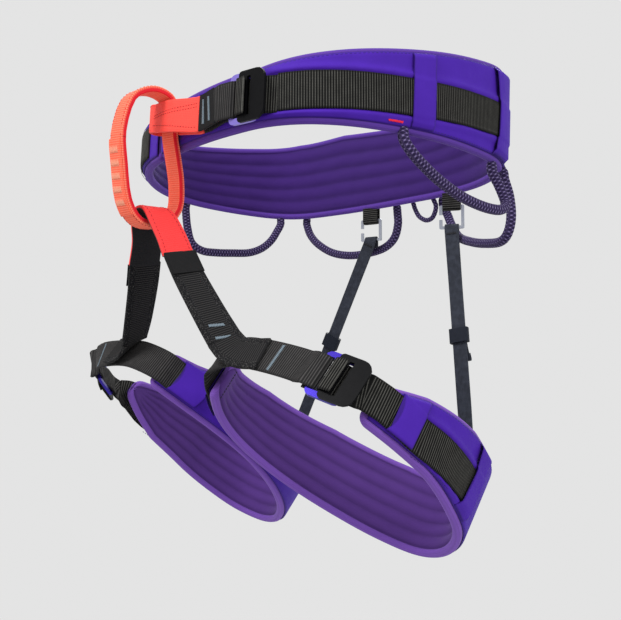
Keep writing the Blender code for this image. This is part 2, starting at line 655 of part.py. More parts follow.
def main():
    for old in list(bpy.data.objects):
        bpy.data.objects.remove(old)
    looks = {
        "lining": material("lining", (0.13, 0.05, 0.38), 0.85),
        "shell": material("shell", (0.07, 0.02, 0.36), 0.7),
        "webbing": material("webbing", (0.02, 0.02, 0.02), 0.75),
        "stitched": material("stitched", (0.03, 0.03, 0.035), 0.8),
        "red": material("red", (0.9, 0.07, 0.05), 0.7),
        "frame": material("frame", (0.12, 0.09, 0.6), 0.35, 0.7),
        "plate": material("plate", (0.01, 0.01, 0.012), 0.4, 0.5),
        "cord": material("cord", (0.06, 0.04, 0.13), 0.8),
        "elastic": material("elastic", (0.02, 0.022, 0.028), 0.8),
        "hook": material("hook", (0.45, 0.45, 0.5), 0.3, 1.0),
    }
    wall = make_waist()
    waist_belt(wall, looks)
    waist_front(wall, looks)
    belay_loop(looks["red"])
    tie_in_and_risers(looks)
    for side in LEGS:
        rear_hangers(side, wall, leg_loop(side, looks), looks)
    for name, points in GEAR_LOOPS.items():
        cord(name, points, CORD_RADIUS, looks["cord"], steps=2)
    cord("haul_loop", HAUL_LOOP, 2.5, looks["cord"], steps=2)


main()
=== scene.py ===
"""The looks of a climbing harness: webbing, foam pads in stretch lining, shells, stitching, cords and metal.

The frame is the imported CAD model's: the wearer faces -Y, the wearer's left is +X and +Z is up. Lengths are in
millimetres until a mesh is made, which is in metres. The walls and routes are the CAD model's own.
"""

import math

import bpy
import numpy as np
from mathutils import Matrix, Vector


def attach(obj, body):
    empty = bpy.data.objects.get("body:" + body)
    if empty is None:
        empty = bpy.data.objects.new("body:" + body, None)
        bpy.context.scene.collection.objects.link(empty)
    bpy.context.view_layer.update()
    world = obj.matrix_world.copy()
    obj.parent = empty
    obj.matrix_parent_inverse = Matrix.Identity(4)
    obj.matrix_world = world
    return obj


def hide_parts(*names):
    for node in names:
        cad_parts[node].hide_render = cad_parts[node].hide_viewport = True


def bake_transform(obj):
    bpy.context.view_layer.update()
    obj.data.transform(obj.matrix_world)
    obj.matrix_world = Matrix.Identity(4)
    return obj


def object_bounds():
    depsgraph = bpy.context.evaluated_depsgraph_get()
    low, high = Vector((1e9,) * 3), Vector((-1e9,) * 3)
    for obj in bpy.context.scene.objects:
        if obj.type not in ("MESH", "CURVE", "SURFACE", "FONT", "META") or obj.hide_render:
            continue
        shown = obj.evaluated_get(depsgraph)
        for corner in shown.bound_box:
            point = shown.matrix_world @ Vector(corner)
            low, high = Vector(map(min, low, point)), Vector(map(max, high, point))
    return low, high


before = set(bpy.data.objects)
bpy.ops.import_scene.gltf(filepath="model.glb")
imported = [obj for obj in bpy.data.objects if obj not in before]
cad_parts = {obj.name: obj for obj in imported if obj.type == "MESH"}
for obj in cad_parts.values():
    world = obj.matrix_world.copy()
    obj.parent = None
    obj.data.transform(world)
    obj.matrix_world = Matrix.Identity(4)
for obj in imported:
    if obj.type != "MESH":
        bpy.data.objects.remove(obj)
CAD_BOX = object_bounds()

METRES = 0.001
GAP = 0.4
WEB_WIDTH, WEB_THICK = 30.0, 2.0
PAD_THICK, SHELL_THICK, COVER_THICK, RIM = 9.0, 1.2, 1.0, 4.0
SHELL_OUT = PAD_THICK / 2 + GAP + SHELL_THICK / 2
WEB_OUT = SHELL_OUT + SHELL_THICK / 2 + GAP + WEB_THICK / 2
COVER_OUT = WEB_OUT + WEB_THICK / 2 + GAP + COVER_THICK / 2

BELT_OUTLINE = [
    (0, -146), (45, -146), (85, -142), (122, -134), (150, -117), (170, -90), (182, -55), (187, -15),
    (184, 25), (172, 70), (145, 104), (100, 125), (50, 130), (0, 127), (-50, 122), (-100, 114),
    (-150, 100), (-175, 75), (-184, 35), (-184, -5), (-177, -39), (-158, -75), (-127, -106), (-88, -130),
    (-45, -143),
]
BELT_DROP, BELT_SLOPE, BELT_OPENING, BELT_START = -36.0, 0.05, 2.0, -24.0
BELT_HEIGHTS = [
    (0, 46), (0.22, 49), (0.31, 57), (0.42, 67), (0.51, 75), (0.58, 81), (0.68, 89), (0.8, 92), (1, 83),
]
BELT_WEB = [(0, 21), (60, 21), (135, 24), (250, 29), (352, 36.5), (540, 37)]
LEG_WEB = [(0, 20), (18, 21), (45, 18.5), (110, 26), (160, 29)]
LEG_ORIGIN = Vector((118, -50, -308))
LEGS = {
    "left": {
        "across": (0.992, 0, 0.129), "up": (-0.101, 0.622, 0.777), "buckle": 5, "twist": 0, "join": 10,
        "rise": 0, "anchor": 226,
        "outline": [
            (87, -68), (92, -30), (91, 5), (78, 42), (58, 78), (30, 103), (0, 115), (-28, 110),
            (-55, 82), (-75, 45), (-88, 8), (-93, -30), (-88, -66), (-72, -96), (-45, -122),
        ],
        "strap": [
            (-42, -135, 26), (-16, -135, 29.5), (10, -128, 28), (35, -117, 26), (56, -107, 23),
            (75, -95, 20), (90, -80, 20),
        ],
    },
    "right": {
        "across": (1, 0, 0), "up": (0, 0.625, 0.781), "buckle": 5, "twist": 50, "join": 20,
        "rise": 14, "anchor": 222,
        "outline": [
            (60, -86), (75, -57), (82, -26), (88, 8), (95, 42), (92, 75), (78, 106), (46, 123),
            (10, 118), (-24, 98), (-53, 72), (-77, 40), (-91, 8), (-95, -20), (-91, -50), (-80, -84),
            (-66, -124),
        ],
        "strap": [
            (-56, -137, 21), (-30, -141, 23), (4, -143, 22), (34, -142, 20), (58, -133, 18), (72, -116, 17),
            (77, -96, 16),
        ],
    },
}
LEG_HEIGHTS = [
    (0, 34), (0.08, 52), (0.2, 67), (0.35, 75), (0.55, 77), (0.7, 72), (0.85, 59), (0.95, 43), (1, 38),
]
LEG_STEP = 10.0
BELAY_ROUTE = [
    (-206, -20), (-203, -46), (-197, -76), (-184, -92.5), (-162, -92.5), (-149.5, -79), (-149.5, -57),
    (-153.5, -38), (-158.2, -19), (-159.5, -4), (-160.5, 9), (-168, 16.5), (-183, 18), (-199, 8),
]
BELAY_LEAN, BELAY_SIDE, BELAY_TWIST, BELAY_WIDTH, BELAY_THICK = 0.12, 13.5, 6.0, 19.0, 5.0
SADDLE = [
    (-33, -160, -124), (-22, -163, -104), (-11, -170, -84.5), (2, -172, -79.5), (14, -170, -84.5),
    (23, -163, -104), (29.5, -159, -121),
]
SADDLE_WIDTHS = [(0, 29), (0.25, 27), (0.5, 23), (0.75, 28), (1, 30)]
RISER = [(30.9, -158, -122.8), (42, -154, -142), (65, -147.5, -174), (81, -143.5, -194)]
RISER_LAP = {  # the riser's lower end, laid along the front of the leg's strap
    "left": [(92, -141.6, -202.2), (106, -138.2, -205.2), (122, -133.6, -205.6)],
    "right": [(92, -148.4, -197.2), (106, -150.3, -199.4), (120, -150.3, -199.4)],
}
TIE_IN_WIDTH, TIE_IN_THICK, RISER_THICK = 24.0, 3.4, 3.0
FRAME_LENGTH, FRAME_THICK, FRAME_BAR = 30.0, 2.6, 4.0
PLATE_START, PLATE_END, PLATE_BAR, PLATE_THICK = -3.0, 25.0, 9.0, 2.2
PLATE_RISE = FRAME_THICK / 2 + GAP + PLATE_THICK / 2
FOLD_GAP = 0.6
FRAME_REACH = FRAME_THICK / 2 + FOLD_GAP + WEB_THICK / 2  # from a bar's middle to the middle of its webbing
PLATE_REACH = PLATE_THICK / 2 + FOLD_GAP + WEB_THICK / 2
WAIST_BUCKLE = 111.0  # how far along the belt the waist buckle's middle is
STRAP_END = 20.0  # how high up the leg pad the strap's cut end lies
HANGERS = {"left": {"along": 486, "turn": 36}, "right": {"along": 602, "turn": 22}}
TAB_WIDTH, TAB_THICK = 18.0, 1.6
HOOK_TOP, HOOK_LENGTH, HOOK_BAR, HOOK_THICK = 10.5, 24.0, 3.0, 1.8
SLIDER_SHARE = 0.43
CORD_RADIUS, HAUL_RADIUS = 4.5, 2.5
ELASTIC_WIDTH, ELASTIC_THICK = 14.0, 1.6
ELASTIC_TAIL = [  # along and off the elastic from its slider
    (-4.0, -1.9), (5, -2.6), (12, -4.6), (18, -7.2), (22, -9.6), (23.2, -11.6), (21, -12.2), (16, -9.6),
]
GEAR_LOOPS = {
    "gear_loop_front_left": [
        (187, -46, -38), (189, -41, -47), (190, -29, -57), (190, -12, -67), (189, 8, -75), (188, 27, -80),
        (187, 48, -83), (185, 66, -82), (182, 75, -75), (178, 72, -60), (174, 68, -48),
    ],
    "gear_loop_rear_left": [
        (157, 102, -47), (158, 107, -62), (158, 109, -80), (152, 111, -94), (139, 115, -100), (114, 123, -98),
        (88, 132, -93), (60, 142.5, -84), (46, 146, -70), (39, 147, -58), (37, 143, -49),
    ],
    "gear_loop_front_right": [
        (-184, -38, -40), (-185, -35, -60), (-184, -30, -76), (-182, -18, -84), (-181, 0, -85),
        (-180, 20, -84), (-179, 42, -82), (-177, 58, -76), (-175, 70, -66), (-174, 78, -54), (-173, 82, -46),
    ],
    "gear_loop_rear_right": [
        (-153, 106, -47), (-148, 108, -60), (-136, 111, -72), (-117, 117, -83), (-93, 124, -88),
        (-67, 131.5, -87), (-47, 135.5, -83), (-33, 137, -74), (-27, 137, -60), (-27, 136.5, -48),
    ],
}
HAUL_LOOP = [(2, 136, -48), (7, 137, -56), (16, 138, -61), (25, 138, -60), (31, 137, -54), (33, 136, -48)]

RIB_PITCH, RIB_DEPTH = 2.1, 0.28  # of the webbing's cross ribs
YARN_PITCH, RED_PITCH, PATCH_PITCH = 1.25, 1.9, 1.2
BUCKLED_THICK = WEB_THICK - 0.3  # webbing pulled tight through a buckle
WAY_BLUR = 3.0  # how far along a strip a change in its lie is spread
CORD_PITCH = 3.4  # between the cord sleeve's picks
CORD_STRANDS = 8
PAD_STEP, PAD_CHANNELS = 3.0, 5
PAD_ROLL, PAD_GROOVE, PAD_EDGE = 3.4, 6.4, 9.0  # how far in the rolled rim, its groove and the fine rows go
COVER_ROWS = 40
KEEPER_FOOT, SEAM_OUT, TACK_OUT = 6.9, 7.4, 7.3  # how far out of the pad's middle each lies


# -------------------------------------------------------------------------------- materials

class Look:
    """A Principled material and short calls for the nodes that drive it."""

    def __init__(self, name, roughness, specular, metallic=0.0, sheen=0.0):
        self.material = bpy.data.materials.new(name)
        self.material.use_nodes = True
        self.tree = self.material.node_tree
        self.shader = self.tree.nodes["Principled BSDF"]
        for socket, value in (("Roughness", roughness), ("Specular IOR Level", specular),
                              ("Metallic", metallic), ("Sheen Weight", sheen)):
            self.shader.inputs[socket].default_value = value
        if sheen:
            self.shader.inputs["Sheen Roughness"].default_value = 0.4
        self.parts = None

    def add(self, kind, *values, **settings):
        node = self.tree.nodes.new("ShaderNode" + kind)
        for key, value in settings.items():
            setattr(node, key, value)
        for socket, value in zip(node.inputs, values):
            self.set(socket, value)
        return node

    def set(self, socket, value):
        if isinstance(value, bpy.types.NodeSocket):
            self.tree.links.new(value, socket)
        else:
            socket.default_value = value

    def math(self, operation, *values):
        return self.add("Math", *values, operation=operation).outputs[0]

    def times(self, *values):
        return self.math("MULTIPLY", *values)

    def plus(self, *values):
        return self.math("ADD", *values)

    def run(self, axis):
        """How far along (0) or across (1) a piece a point is, in millimetres, or its piece's own mark (2)."""
        if self.parts is None:
            read = self.add("Attribute", attribute_name="run")
            self.parts = self.add("SeparateXYZ", read.outputs["Vector"]).outputs
        return self.parts[axis]

    # How lit each point is painted, read from its mesh attribute: 1 is fully lit and lower values are painted
    # shade.
    def tone(self):
        return self.add("Attribute", attribute_name="tone").outputs["Fac"]

    def wave(self, value, pitch):
        """A cosine of that pitch, from 0 to 1."""
        turned = self.math("COSINE", self.times(value, 2 * math.pi / pitch))
        return self.math("MULTIPLY_ADD", turned, 0.5, 0.5)

    def weave(self, pitch):
        """Threads of that pitch both ways, from 0 to 1."""
        return self.times(self.wave(self.run(0), pitch), self.wave(self.run(1), pitch))

    def noise(self, size, detail=2.0):
        """Noise with features of that size in millimetres."""
        place = self.add("TexCoord").outputs["Object"]
        node = self.add("TexNoise")
        self.set(node.inputs["Vector"], place)
        node.inputs["Scale"].default_value = 1 / (size * METRES)
        node.inputs["Detail"].default_value = detail
        return node.outputs["Fac"]

    def between(self, value, low, high, to_low=0.0, to_high=1.0):
        return self.add("MapRange", value, low, high, to_low, to_high).outputs["Result"]

    def mix(self, share, first, second):
        node = self.add("Mix", data_type="RGBA")
        for index, value in ((0, share), (6, first), (7, second)):
            self.set(node.inputs[index], (*value, 1) if isinstance(value, tuple) else value)
        return node.outputs[2]

    def colour(self, value):
        self.set(self.shader.inputs["Base Color"], value)

    def bump(self, height, depth, strength):
        node = self.add("Bump")
        node.inputs["Strength"].default_value = strength
        node.inputs["Distance"].default_value = depth * METRES
        self.set(node.inputs["Height"], height)
        self.set(self.shader.inputs["Normal"], node.outputs["Normal"])


def scaled(colour, gain, lift=0.0):
    """A colour with each part times gain, plus lift."""
    return tuple(c * gain + lift for c in colour)


def lining(face):
    """Stretch mesh over foam, paler on the rolled rim, with painted shade down the sewn channels and in the
    groove inside the rim.
    """
    look = Look("lining", roughness=0.92, sheen=0.08, specular=0.12)
    knit = look.weave(1.1)
    patch = look.noise(14.0)
    # Painted shade: a darker copy of the face colour where the painted lighting is low.
    body = look.mix(look.tone(), scaled(face, 0.62), face)
    body = look.mix(look.times(patch, 0.3), body, scaled(face, 1.35))
    rim = look.mix(look.run(2), body, scaled(face, 2.1, 0.008))
    look.colour(look.mix(look.times(knit, 0.3), rim, scaled(face, 0.35)))
    look.bump(look.plus(knit, look.times(look.noise(3.0), 1.2)), 0.12, 0.7)
    return look.material


def shell():
    """Tightly woven nylon, with faint puckers."""
    look = Look("shell", roughness=0.72, sheen=0.03, specular=0.12)
    weave = look.weave(0.8)
    body = look.mix(look.noise(22.0), (0.046, 0.009, 0.27), (0.062, 0.014, 0.35))
    # Painted shade: the cover darkens towards its edges, cut ends and inner face, as its painted lighting
    # falls.
    body = look.mix(look.tone(), (0.014, 0.003, 0.085), body)
    look.colour(look.mix(look.times(weave, 0.22), body, (0.022, 0.005, 0.14)))
    pucker = look.times(look.noise(9.0, 3.0), 4.0)
    look.bump(look.plus(look.times(weave, 0.35), pucker), 0.22, 0.55)
    return look.material


def webbing(name, dark, pale, pitch=RIB_PITCH, contrast=0.85):
    """Ribbed webbing: paler yarn on the cross ribs' crests, plain selvedges and fine lengthwise yarns."""
    look = Look(name, roughness=0.82, sheen=0.02, specular=0.12)
    crest = look.math("POWER", look.wave(look.run(0), pitch), 3.5)
    yarn = look.between(look.wave(look.run(1), YARN_PITCH), 0.0, 1.0, 0.6, 1.0)
    selvedge = WEB_WIDTH / 2 - 1.9, WEB_WIDTH / 2 - 1.1
    edge = look.between(look.math("ABSOLUTE", look.run(1)), *selvedge, 1.0, 0.35)
    share = look.times(look.times(crest, yarn), look.times(edge, contrast))
    worn = look.between(look.noise(7.0, 3.0), 0.3, 0.75, 0.75, 1.15)
    look.colour(look.mix(look.times(share, worn), dark, pale))
    look.bump(look.times(look.wave(look.run(1), YARN_PITCH), crest), 0.14, 0.8)
    return look.material


def stitched():
    """The riser's black tape: ribs between two flat speckled borders."""
    look = Look("stitched", roughness=0.82, sheen=0.02, specular=0.12)
    crest = look.math("POWER", look.wave(look.run(0), RIB_PITCH), 2.0)
    border = look.between(look.math("ABSOLUTE", look.run(1)), 8.6, 9.4)
    speck = look.between(look.noise(0.9, 1.0), 0.56, 0.68)
    ground = (0.006, 0.006, 0.007)
    middle = look.mix(look.times(crest, 0.7), ground, (0.045, 0.043, 0.042))
    sides = look.mix(speck, ground, (0.060, 0.058, 0.056))
    look.colour(look.mix(border, middle, sides))
    look.bump(look.plus(speck, crest), 0.12, 0.6)
    return look.material


def red(name, face, side, grid=0.0):
    """Dense red webbing. grid is how far the pale weave of its outer face shows. side is the colour where the
    piece's mark is set: painted shade on the belay loop's rounded edges, near-black on the saddle's under face.
    """
    look = Look(name, roughness=0.66, sheen=0.08, specular=0.2)
    rows, columns = look.wave(look.run(0), RED_PITCH), look.wave(look.run(1), 1.5)
    cell = look.times(rows, look.between(columns, 0.25, 0.8))
    body = look.mix(look.noise(11.0), face, scaled(face, 0.86))
    yarn = (1.0, 0.36, 0.24) if grid else (0.72, 0.035, 0.03)
    body = look.mix(look.times(cell, 0.25 + grid), body, yarn)
    look.colour(look.mix(look.run(2), body, side))
    look.bump(look.plus(cell, look.times(look.noise(0.8), 0.4)), 0.16, 0.6)
    return look.material


def thread(name, colour):
    look = Look(name, roughness=0.6, sheen=0.04, specular=0.2)
    look.colour(look.mix(look.noise(1.2), scaled(colour, 0.7), colour))
    look.bump(look.noise(0.35), 0.05, 0.6)
    return look.material


def sleeve():
    """The gear loops' braided sleeve: dark purple-grey with pale flecks along each pick."""
    look = Look("sleeve", roughness=0.75, sheen=0.03, specular=0.15)
    along, turn = look.run(0), look.run(1)
    step, lean = look.times(along, 1 / CORD_PITCH), look.times(turn, CORD_STRANDS / 2)
    one = look.wave(look.plus(step, lean), 1.0)
    other = look.wave(look.math("SUBTRACT", step, lean), 1.0)
    pick = look.math("MAXIMUM", look.math("POWER", one, 4.0), look.math("POWER", other, 4.0))
    fleck = look.between(look.times(one, other), 0.45, 0.8)
    body = look.mix(pick, (0.012, 0.007, 0.034), (0.050, 0.032, 0.105))
    look.colour(look.mix(look.times(fleck, 0.8), body, (0.20, 0.165, 0.32)))
    look.bump(pick, 0.25, 0.7)
    return look.material


def elastic():
    look = Look("elastic", roughness=0.78, sheen=0.02, specular=0.15)
    cords, picks = look.wave(look.run(1), 1.3), look.wave(look.run(0), 1.0)
    body = look.mix(look.times(cords, picks), (0.012, 0.014, 0.020), (0.050, 0.056, 0.075))
    look.colour(look.mix(look.between(look.noise(5.0), 0.4, 0.8), body, (0.035, 0.04, 0.055)))
    look.bump(look.plus(cords, look.times(picks, 0.4)), 0.16, 0.7)
    return look.material


def anodised(name, colour, roughness):
    look = Look(name, metallic=0.7, roughness=roughness, specular=0.3)
    look.colour((*colour, 1))
    return look.material


def moulded(name, colour, roughness):
    look = Look(name, roughness=roughness, specular=0.06)
    look.colour(look.mix(look.noise(4.0, 4.0), colour, scaled(colour, 1.5, 0.002)))
    look.bump(look.noise(0.5, 3.0), 0.03, 0.5)
    return look.material


LOOKS = {
    # The waist lining's colour is a darker copy of the legs': painted shade, for the belt's lining lying in
    # shade.
    "lining": lining((0.042, 0.015, 0.135)), "lining_leg": lining((0.078, 0.032, 0.185)),
    "shell": shell(),
    "webbing": webbing("webbing", (0.002, 0.002, 0.002), (0.115, 0.113, 0.102)),
    "webbing_grey": webbing("webbing_grey", (0.012, 0.0115, 0.012), (0.10, 0.096, 0.094), contrast=0.8),
    "patch": webbing("patch", (0.007, 0.007, 0.0075), (0.020, 0.020, 0.021), pitch=PATCH_PITCH),
    "stitched": stitched(),
    # The second colour of red and red_pale is painted shade for marked edges; red's is never marked. The
    # saddle's is near-black on its under face.
    "red": red("red", (0.92, 0.075, 0.055), (0.75, 0.02, 0.03)),
    "red_pale": red("red_pale", (0.93, 0.11, 0.05), (0.70, 0.008, 0.02), grid=0.4),
    "saddle": red("saddle", (0.90, 0.045, 0.045), (0.008, 0.008, 0.009)),
    "seam": thread("seam", (0.030, 0.010, 0.16)),
    "tack": thread("tack", (0.17, 0.22, 0.26)),
    "red_thread": thread("red_thread", (0.85, 0.02, 0.05)),
    "dark_red_thread": thread("dark_red_thread", (0.38, 0.01, 0.02)),
    "pale_thread": thread("pale_thread", (1.0, 0.40, 0.26)),
    "dark_thread": thread("dark_thread", (0.02, 0.02, 0.025)),
    "sleeve": sleeve(), "elastic": elastic(),
    "frame": anodised("frame", (0.030, 0.016, 0.27), 0.30),
    "frame_pale": anodised("frame_pale", (0.26, 0.20, 0.66), 0.30),
    "plate": moulded("plate", (0.0025, 0.0025, 0.003), 0.36),
    # A pale grey for the black plates' bevelled edges: a painted highlight.
    "plate_edge_highlight": anodised("plate_edge_highlight", (0.20, 0.215, 0.215), 0.35),
    "hook": anodised("hook", (0.42, 0.45, 0.50), 0.3),
    "slider": moulded("slider", (0.010, 0.012, 0.018), 0.5),
}


# -------------------------------------------------------------------------------- shapes

def smooth(points, steps, closed=False):
    """A Catmull-Rom curve through the points, with `steps` pieces to each span."""
    points = [Vector(p) for p in points]
    count = len(points)
    if not closed:
        points = [2 * points[0] - points[1], *points, 2 * points[-1] - points[-2]]
    curve = []
    for i in range(count if closed else count - 1):
        if closed:
            a, b, c, d = (points[(i + k) % count] for k in (-1, 0, 1, 2))
        else:
            a, b, c, d = points[i : i + 4]
        for k in range(steps):
            t = k / steps
            curve.append(0.5 * (2 * b + (c - a) * t + (2 * a - 5 * b + 4 * c - d) * t**2
                                + (3 * b - a - 3 * c + d) * t**3))
    if not closed:
        curve.append(points[-2])
    return curve


def ramp(table, share):
    """The value of a table of (share, value) pairs, straight between them."""
    return float(np.interp(share, [x for x, _ in table], [y for _, y in table]))


def ease(low, high, value):
    """0 below low, 1 above high and a smooth step between."""
    t = np.clip((value - low) / (high - low), 0.0, 1.0)
    return t * t * (3 - 2 * t)


def distances(points):
    """How far along a line of points each of them lies."""
    steps = np.linalg.norm(np.diff(points, axis=0), axis=1)
    return np.concatenate([[0.0], np.cumsum(steps)])


def sampled(at, marks, values):
    """The rows of values, which lie at marks, read at the marks `at`."""
    return np.stack([np.interp(at, marks, column) for column in values.T], -1)


def unit(rows):
    return rows / np.linalg.norm(rows, axis=1, keepdims=True)


def mirrored(point, side):
    return Vector((point.x * side, point.y, point.z))


def arc(radius, first, last, x=0.0, y=0.0):
    """Seven points round a circle about (x, y), between two angles in degrees."""
    turns = [math.radians(first + (last - first) * k / 6) for k in range(7)]
    return [(x + radius * math.cos(t), y + radius * math.sin(t)) for t in turns]


class Wall:
    """A wall that stands on a smooth outline in a plane, measured along, out of and up the wall."""

    def __init__(self, origin, across, up, outline, closed, heights, side=1):
        self.origin, self.across, self.up = origin, across.normalized(), up.normalized()
        self.back = up.cross(across).normalized()
        line = smooth(outline, 8, closed)
        if closed:
            line.append(line[0])
        self.flats = np.array([p[:] for p in line])
        self.marks = distances(self.flats)
        self.length = float(self.marks[-1])
        self.closed, self.heights, self.side = closed, heights, side

    def flat(self, along):
        at = along % self.length if self.closed else along
        return Vector(sampled(at, self.marks, self.flats))

    def out(self, along):
        reach = 4.0
        low, high = along - reach, along + reach
        if not self.closed:
            low, high = max(low, 0.0), min(high, self.length)
        run = self.flat(high) - self.flat(low)
        return Vector((run.y, -run.x)).normalized()

    def place(self, flat, height):
        return self.origin + flat.x * self.across + flat.y * self.back + height * self.up

    def point(self, along, out, height):
        return self.place(self.flat(along) + out * self.out(along), height)

    def top(self, along):
        share = along / self.length
        if self.closed:
            share = 1 - abs(2 * (share % 1) - 1)
        return ramp(self.heights, share)

    def ring(self, along, outs, heights):
        """Points of a section of this wall, as an array."""
        base, out = self.place(self.flat(along), 0), self.out(along)
        outward = out.x * self.across + out.y * self.back
        return np.array(base[:]) + np.outer(outs, outward[:]) + np.outer(heights, self.up[:])


def shown(name, points, faces, look):
    """A smooth mesh in the scene, of points in metres."""
    mesh = bpy.data.meshes.new(name)
    mesh.from_pydata(points, [], faces)
    mesh.materials.append(LOOKS[look])
    mesh.shade_smooth()
    made = bpy.data.objects.new(name, mesh)
    bpy.context.scene.collection.objects.link(made)
    return made


def built(name, rings, run, tone, look, side=1):
    """A closed mesh through rings of points, with how far along and across each lies and how lit it is painted
    (1 is fully lit, lower is painted shade).
    """
    count, size = rings.shape[:2]
    index = np.arange(count * size).reshape(count, size)
    here, there = index[:-1], index[1:]
    quads = np.stack([here, np.roll(here, -1, 1), np.roll(there, -1, 1), there], -1).reshape(-1, 4)
    faces = [*quads.tolist(), index[0][::-1].tolist(), index[-1].tolist()]
    if side < 0:
        faces = [face[::-1] for face in faces]
    points = rings.reshape(-1, 3) * METRES * np.array([side, 1, 1])
    made = shown(name, points.tolist(), faces, look)
    for key, kind, field, values, shape in (("run", "FLOAT_VECTOR", "vector", run, (count, size, 3)),
                                            ("tone", "FLOAT", "value", tone, (count, size))):
        attribute = made.data.attributes.new(key, kind, "POINT")
        attribute.data.foreach_set(field, np.broadcast_to(values, shape).astype(np.float32).ravel())
    return made


def blurred(values, spread):
    """A Gaussian blur along the first axis that keeps the ends in place."""
    reach = int(math.ceil(3 * spread))
    if reach < 1 or len(values) <= reach:
        return values
    weights = np.exp(-0.5 * (np.arange(-reach, reach + 1) / spread) ** 2)
    weights /= weights.sum()
    before = 2 * values[0] - values[reach:0:-1]
    after = 2 * values[-1] - values[-2 : -reach - 2 : -1]
    padded = np.concatenate([before, values, after])
    return np.stack([np.convolve(padded[:, k], weights, "valid") for k in range(values.shape[1])], 1)


class Strip:
    """A strip along a path. Its normal is its run crossed with the way its width lies."""

    def __init__(self, path, ways, width, thick, step=RIB_PITCH / 4, blur=1.3, side=1):
        points = np.array([p[:] for p in path])
        if not isinstance(ways, list):
            ways = [ways] * len(points)
        if not isinstance(width, list):
            width = [width] * len(points)
        marks = distances(points)
        self.side, self.thick, self.length = side, thick, float(marks[-1])
        self.at = np.linspace(0, self.length, max(3, round(self.length / step) + 1))
        gap = self.at[1]
        self.points = blurred(sampled(self.at, marks, points), blur / gap)
        across = blurred(sampled(self.at, marks, np.array([w[:] for w in ways])), WAY_BLUR / gap)
        run = unit(np.gradient(self.points, axis=0))
        self.across = unit(across - (across * run).sum(1, keepdims=True) * run)
        self.normal = np.cross(run, self.across)
        self.widths = np.interp(self.at, marks, width)

    def point(self, along, across, lift=0.0):
        """A point lift above the face that the normal leaves, on the strip's own side of the harness."""
        place, way, normal = (sampled(along, self.at, v) for v in (self.points, self.across, self.normal))
        return mirrored(Vector(place + way * across + normal * (self.thick / 2 + lift)), self.side)

    def face(self, front, along, across, lift):
        """A point lift above the face that the normal leaves, or above the other one if front is false."""
        return self.point(along, across, lift if front else -self.thick - lift)

    def mesh(self, name, look, rib=RIB_DEPTH, pitch=RIB_PITCH, radius=0.8, mark=np.zeros_like, plain=1.6,
             layers=0.0):
        """mark(out), with out on -1..1, gives the run's third number; layers cuts a groove round the edge."""
        thick = self.thick / 2
        radius = min(radius, thick - 0.05)
        section = []
        for sign in (-1, 1):
            section += [(share, 0.0, sign * thick, sign) for share in np.linspace(-1, 1, 11) * -sign]
            for k, turn in enumerate((20, 45, 70, 90, 110, 135, 160)):
                angle = math.radians(turn)
                groove = layers * max(0.0, 1 - abs(k - 3) / 1.5)
                flat = (thick - radius) * ((turn < 90) - (turn > 90))
                section.append((-sign, -sign * (radius * math.sin(angle) - groove),
                                sign * (flat + radius * math.cos(angle)), 0))
        share, shift, out, weight = np.array(section, float).T
        half = self.widths[:, None] / 2
        across = share * (half - radius) + shift
        ribs = rib * np.cos(2 * math.pi * self.at / pitch)[:, None] * weight
        lift = out + ribs * (np.abs(across) < half - plain)
        rings = (self.points[:, None] + self.across[:, None] * across[..., None]
                 + self.normal[:, None] * lift[..., None])
        run = np.stack(np.broadcast_arrays(self.at[:, None], across, mark(out / thick)), -1)
        return built(name, rings, run, 1.0, look, self.side)


def tube(name, points, radius, look, step=0.8, sides=20, depth=0.22):
    """A braided cord with tapered ends: its radius rises over each pick of the sleeve."""
    path = np.array([p[:] for p in smooth(points, 12)])
    marks = distances(path)
    at = np.linspace(0, marks[-1], int(marks[-1] / step) + 1)
    path = sampled(at, marks, path)
    run = unit(np.gradient(path, axis=0))
    way = np.cross(run[0], (0, 0, 1.0) if abs(run[0][2]) < 0.9 else (1.0, 0, 0))
    ways = []
    for r in run:
        way = way - way.dot(r) * r
        way /= np.linalg.norm(way)
        ways.append(way)
    ways = np.array(ways)
    normal = np.cross(run, ways)
    turn = np.arange(sides) / sides
    lean = turn * CORD_STRANDS / 2
    one, other = (0.5 + 0.5 * np.cos(2 * math.pi * (at[:, None] / CORD_PITCH + k)) for k in (lean, -lean))
    near = np.minimum(at, marks[-1] - at)[:, None]
    reach = (radius - depth + depth * np.maximum(one**2, other**2)) * (0.45 + 0.55 * ease(0, 7, near))
    angle = 2 * math.pi * turn
    rings = (path[:, None] + ways[:, None] * (reach * np.cos(angle))[..., None]
             + normal[:, None] * (reach * np.sin(angle))[..., None])
    return built(name, rings, np.stack(np.broadcast_arrays(at[:, None], turn, 0 * reach), -1), 1.0, look)


def threads(name, lines, radius, look):
    """Short thick threads, one for each (start, end) in millimetres."""
    sides, stations = 5, ((0.0, 0.45), (0.2, 1.0), (0.5, 1.12), (0.8, 1.0), (1.0, 0.45))
    points, faces = [], []
    for a, b in lines:
        run = b - a
        way = run.orthogonal().normalized()
        normal = run.cross(way).normalized()
        base = len(points)
        for t, size in stations:
            for k in range(sides):
                turn = 2 * math.pi * k / sides
                spoke = math.cos(turn) * way + math.sin(turn) * normal
                points.append((a + run * t + radius * size * spoke) * METRES)
        for i in range(len(stations) - 1):
            for k in range(sides):
                here, after = base + i * sides + k, base + i * sides + (k + 1) % sides
                faces.append((here, after, after + sides, here + sides))
        ring = tuple(range(base, base + sides))
        faces += [ring[::-1], tuple(k + sides * (len(stations) - 1) for k in ring)]
    return shown(name, points, faces, look)


def seam(place, start, end, stitch=2.4, gap=1.0):
    """Stitches along a line: place(t) gives a point t millimetres along it."""
    lines, t = [], start
    while t + stitch <= end:
        lines.append((place(t), place(t + stitch)))
        t += stitch + gap
    return lines


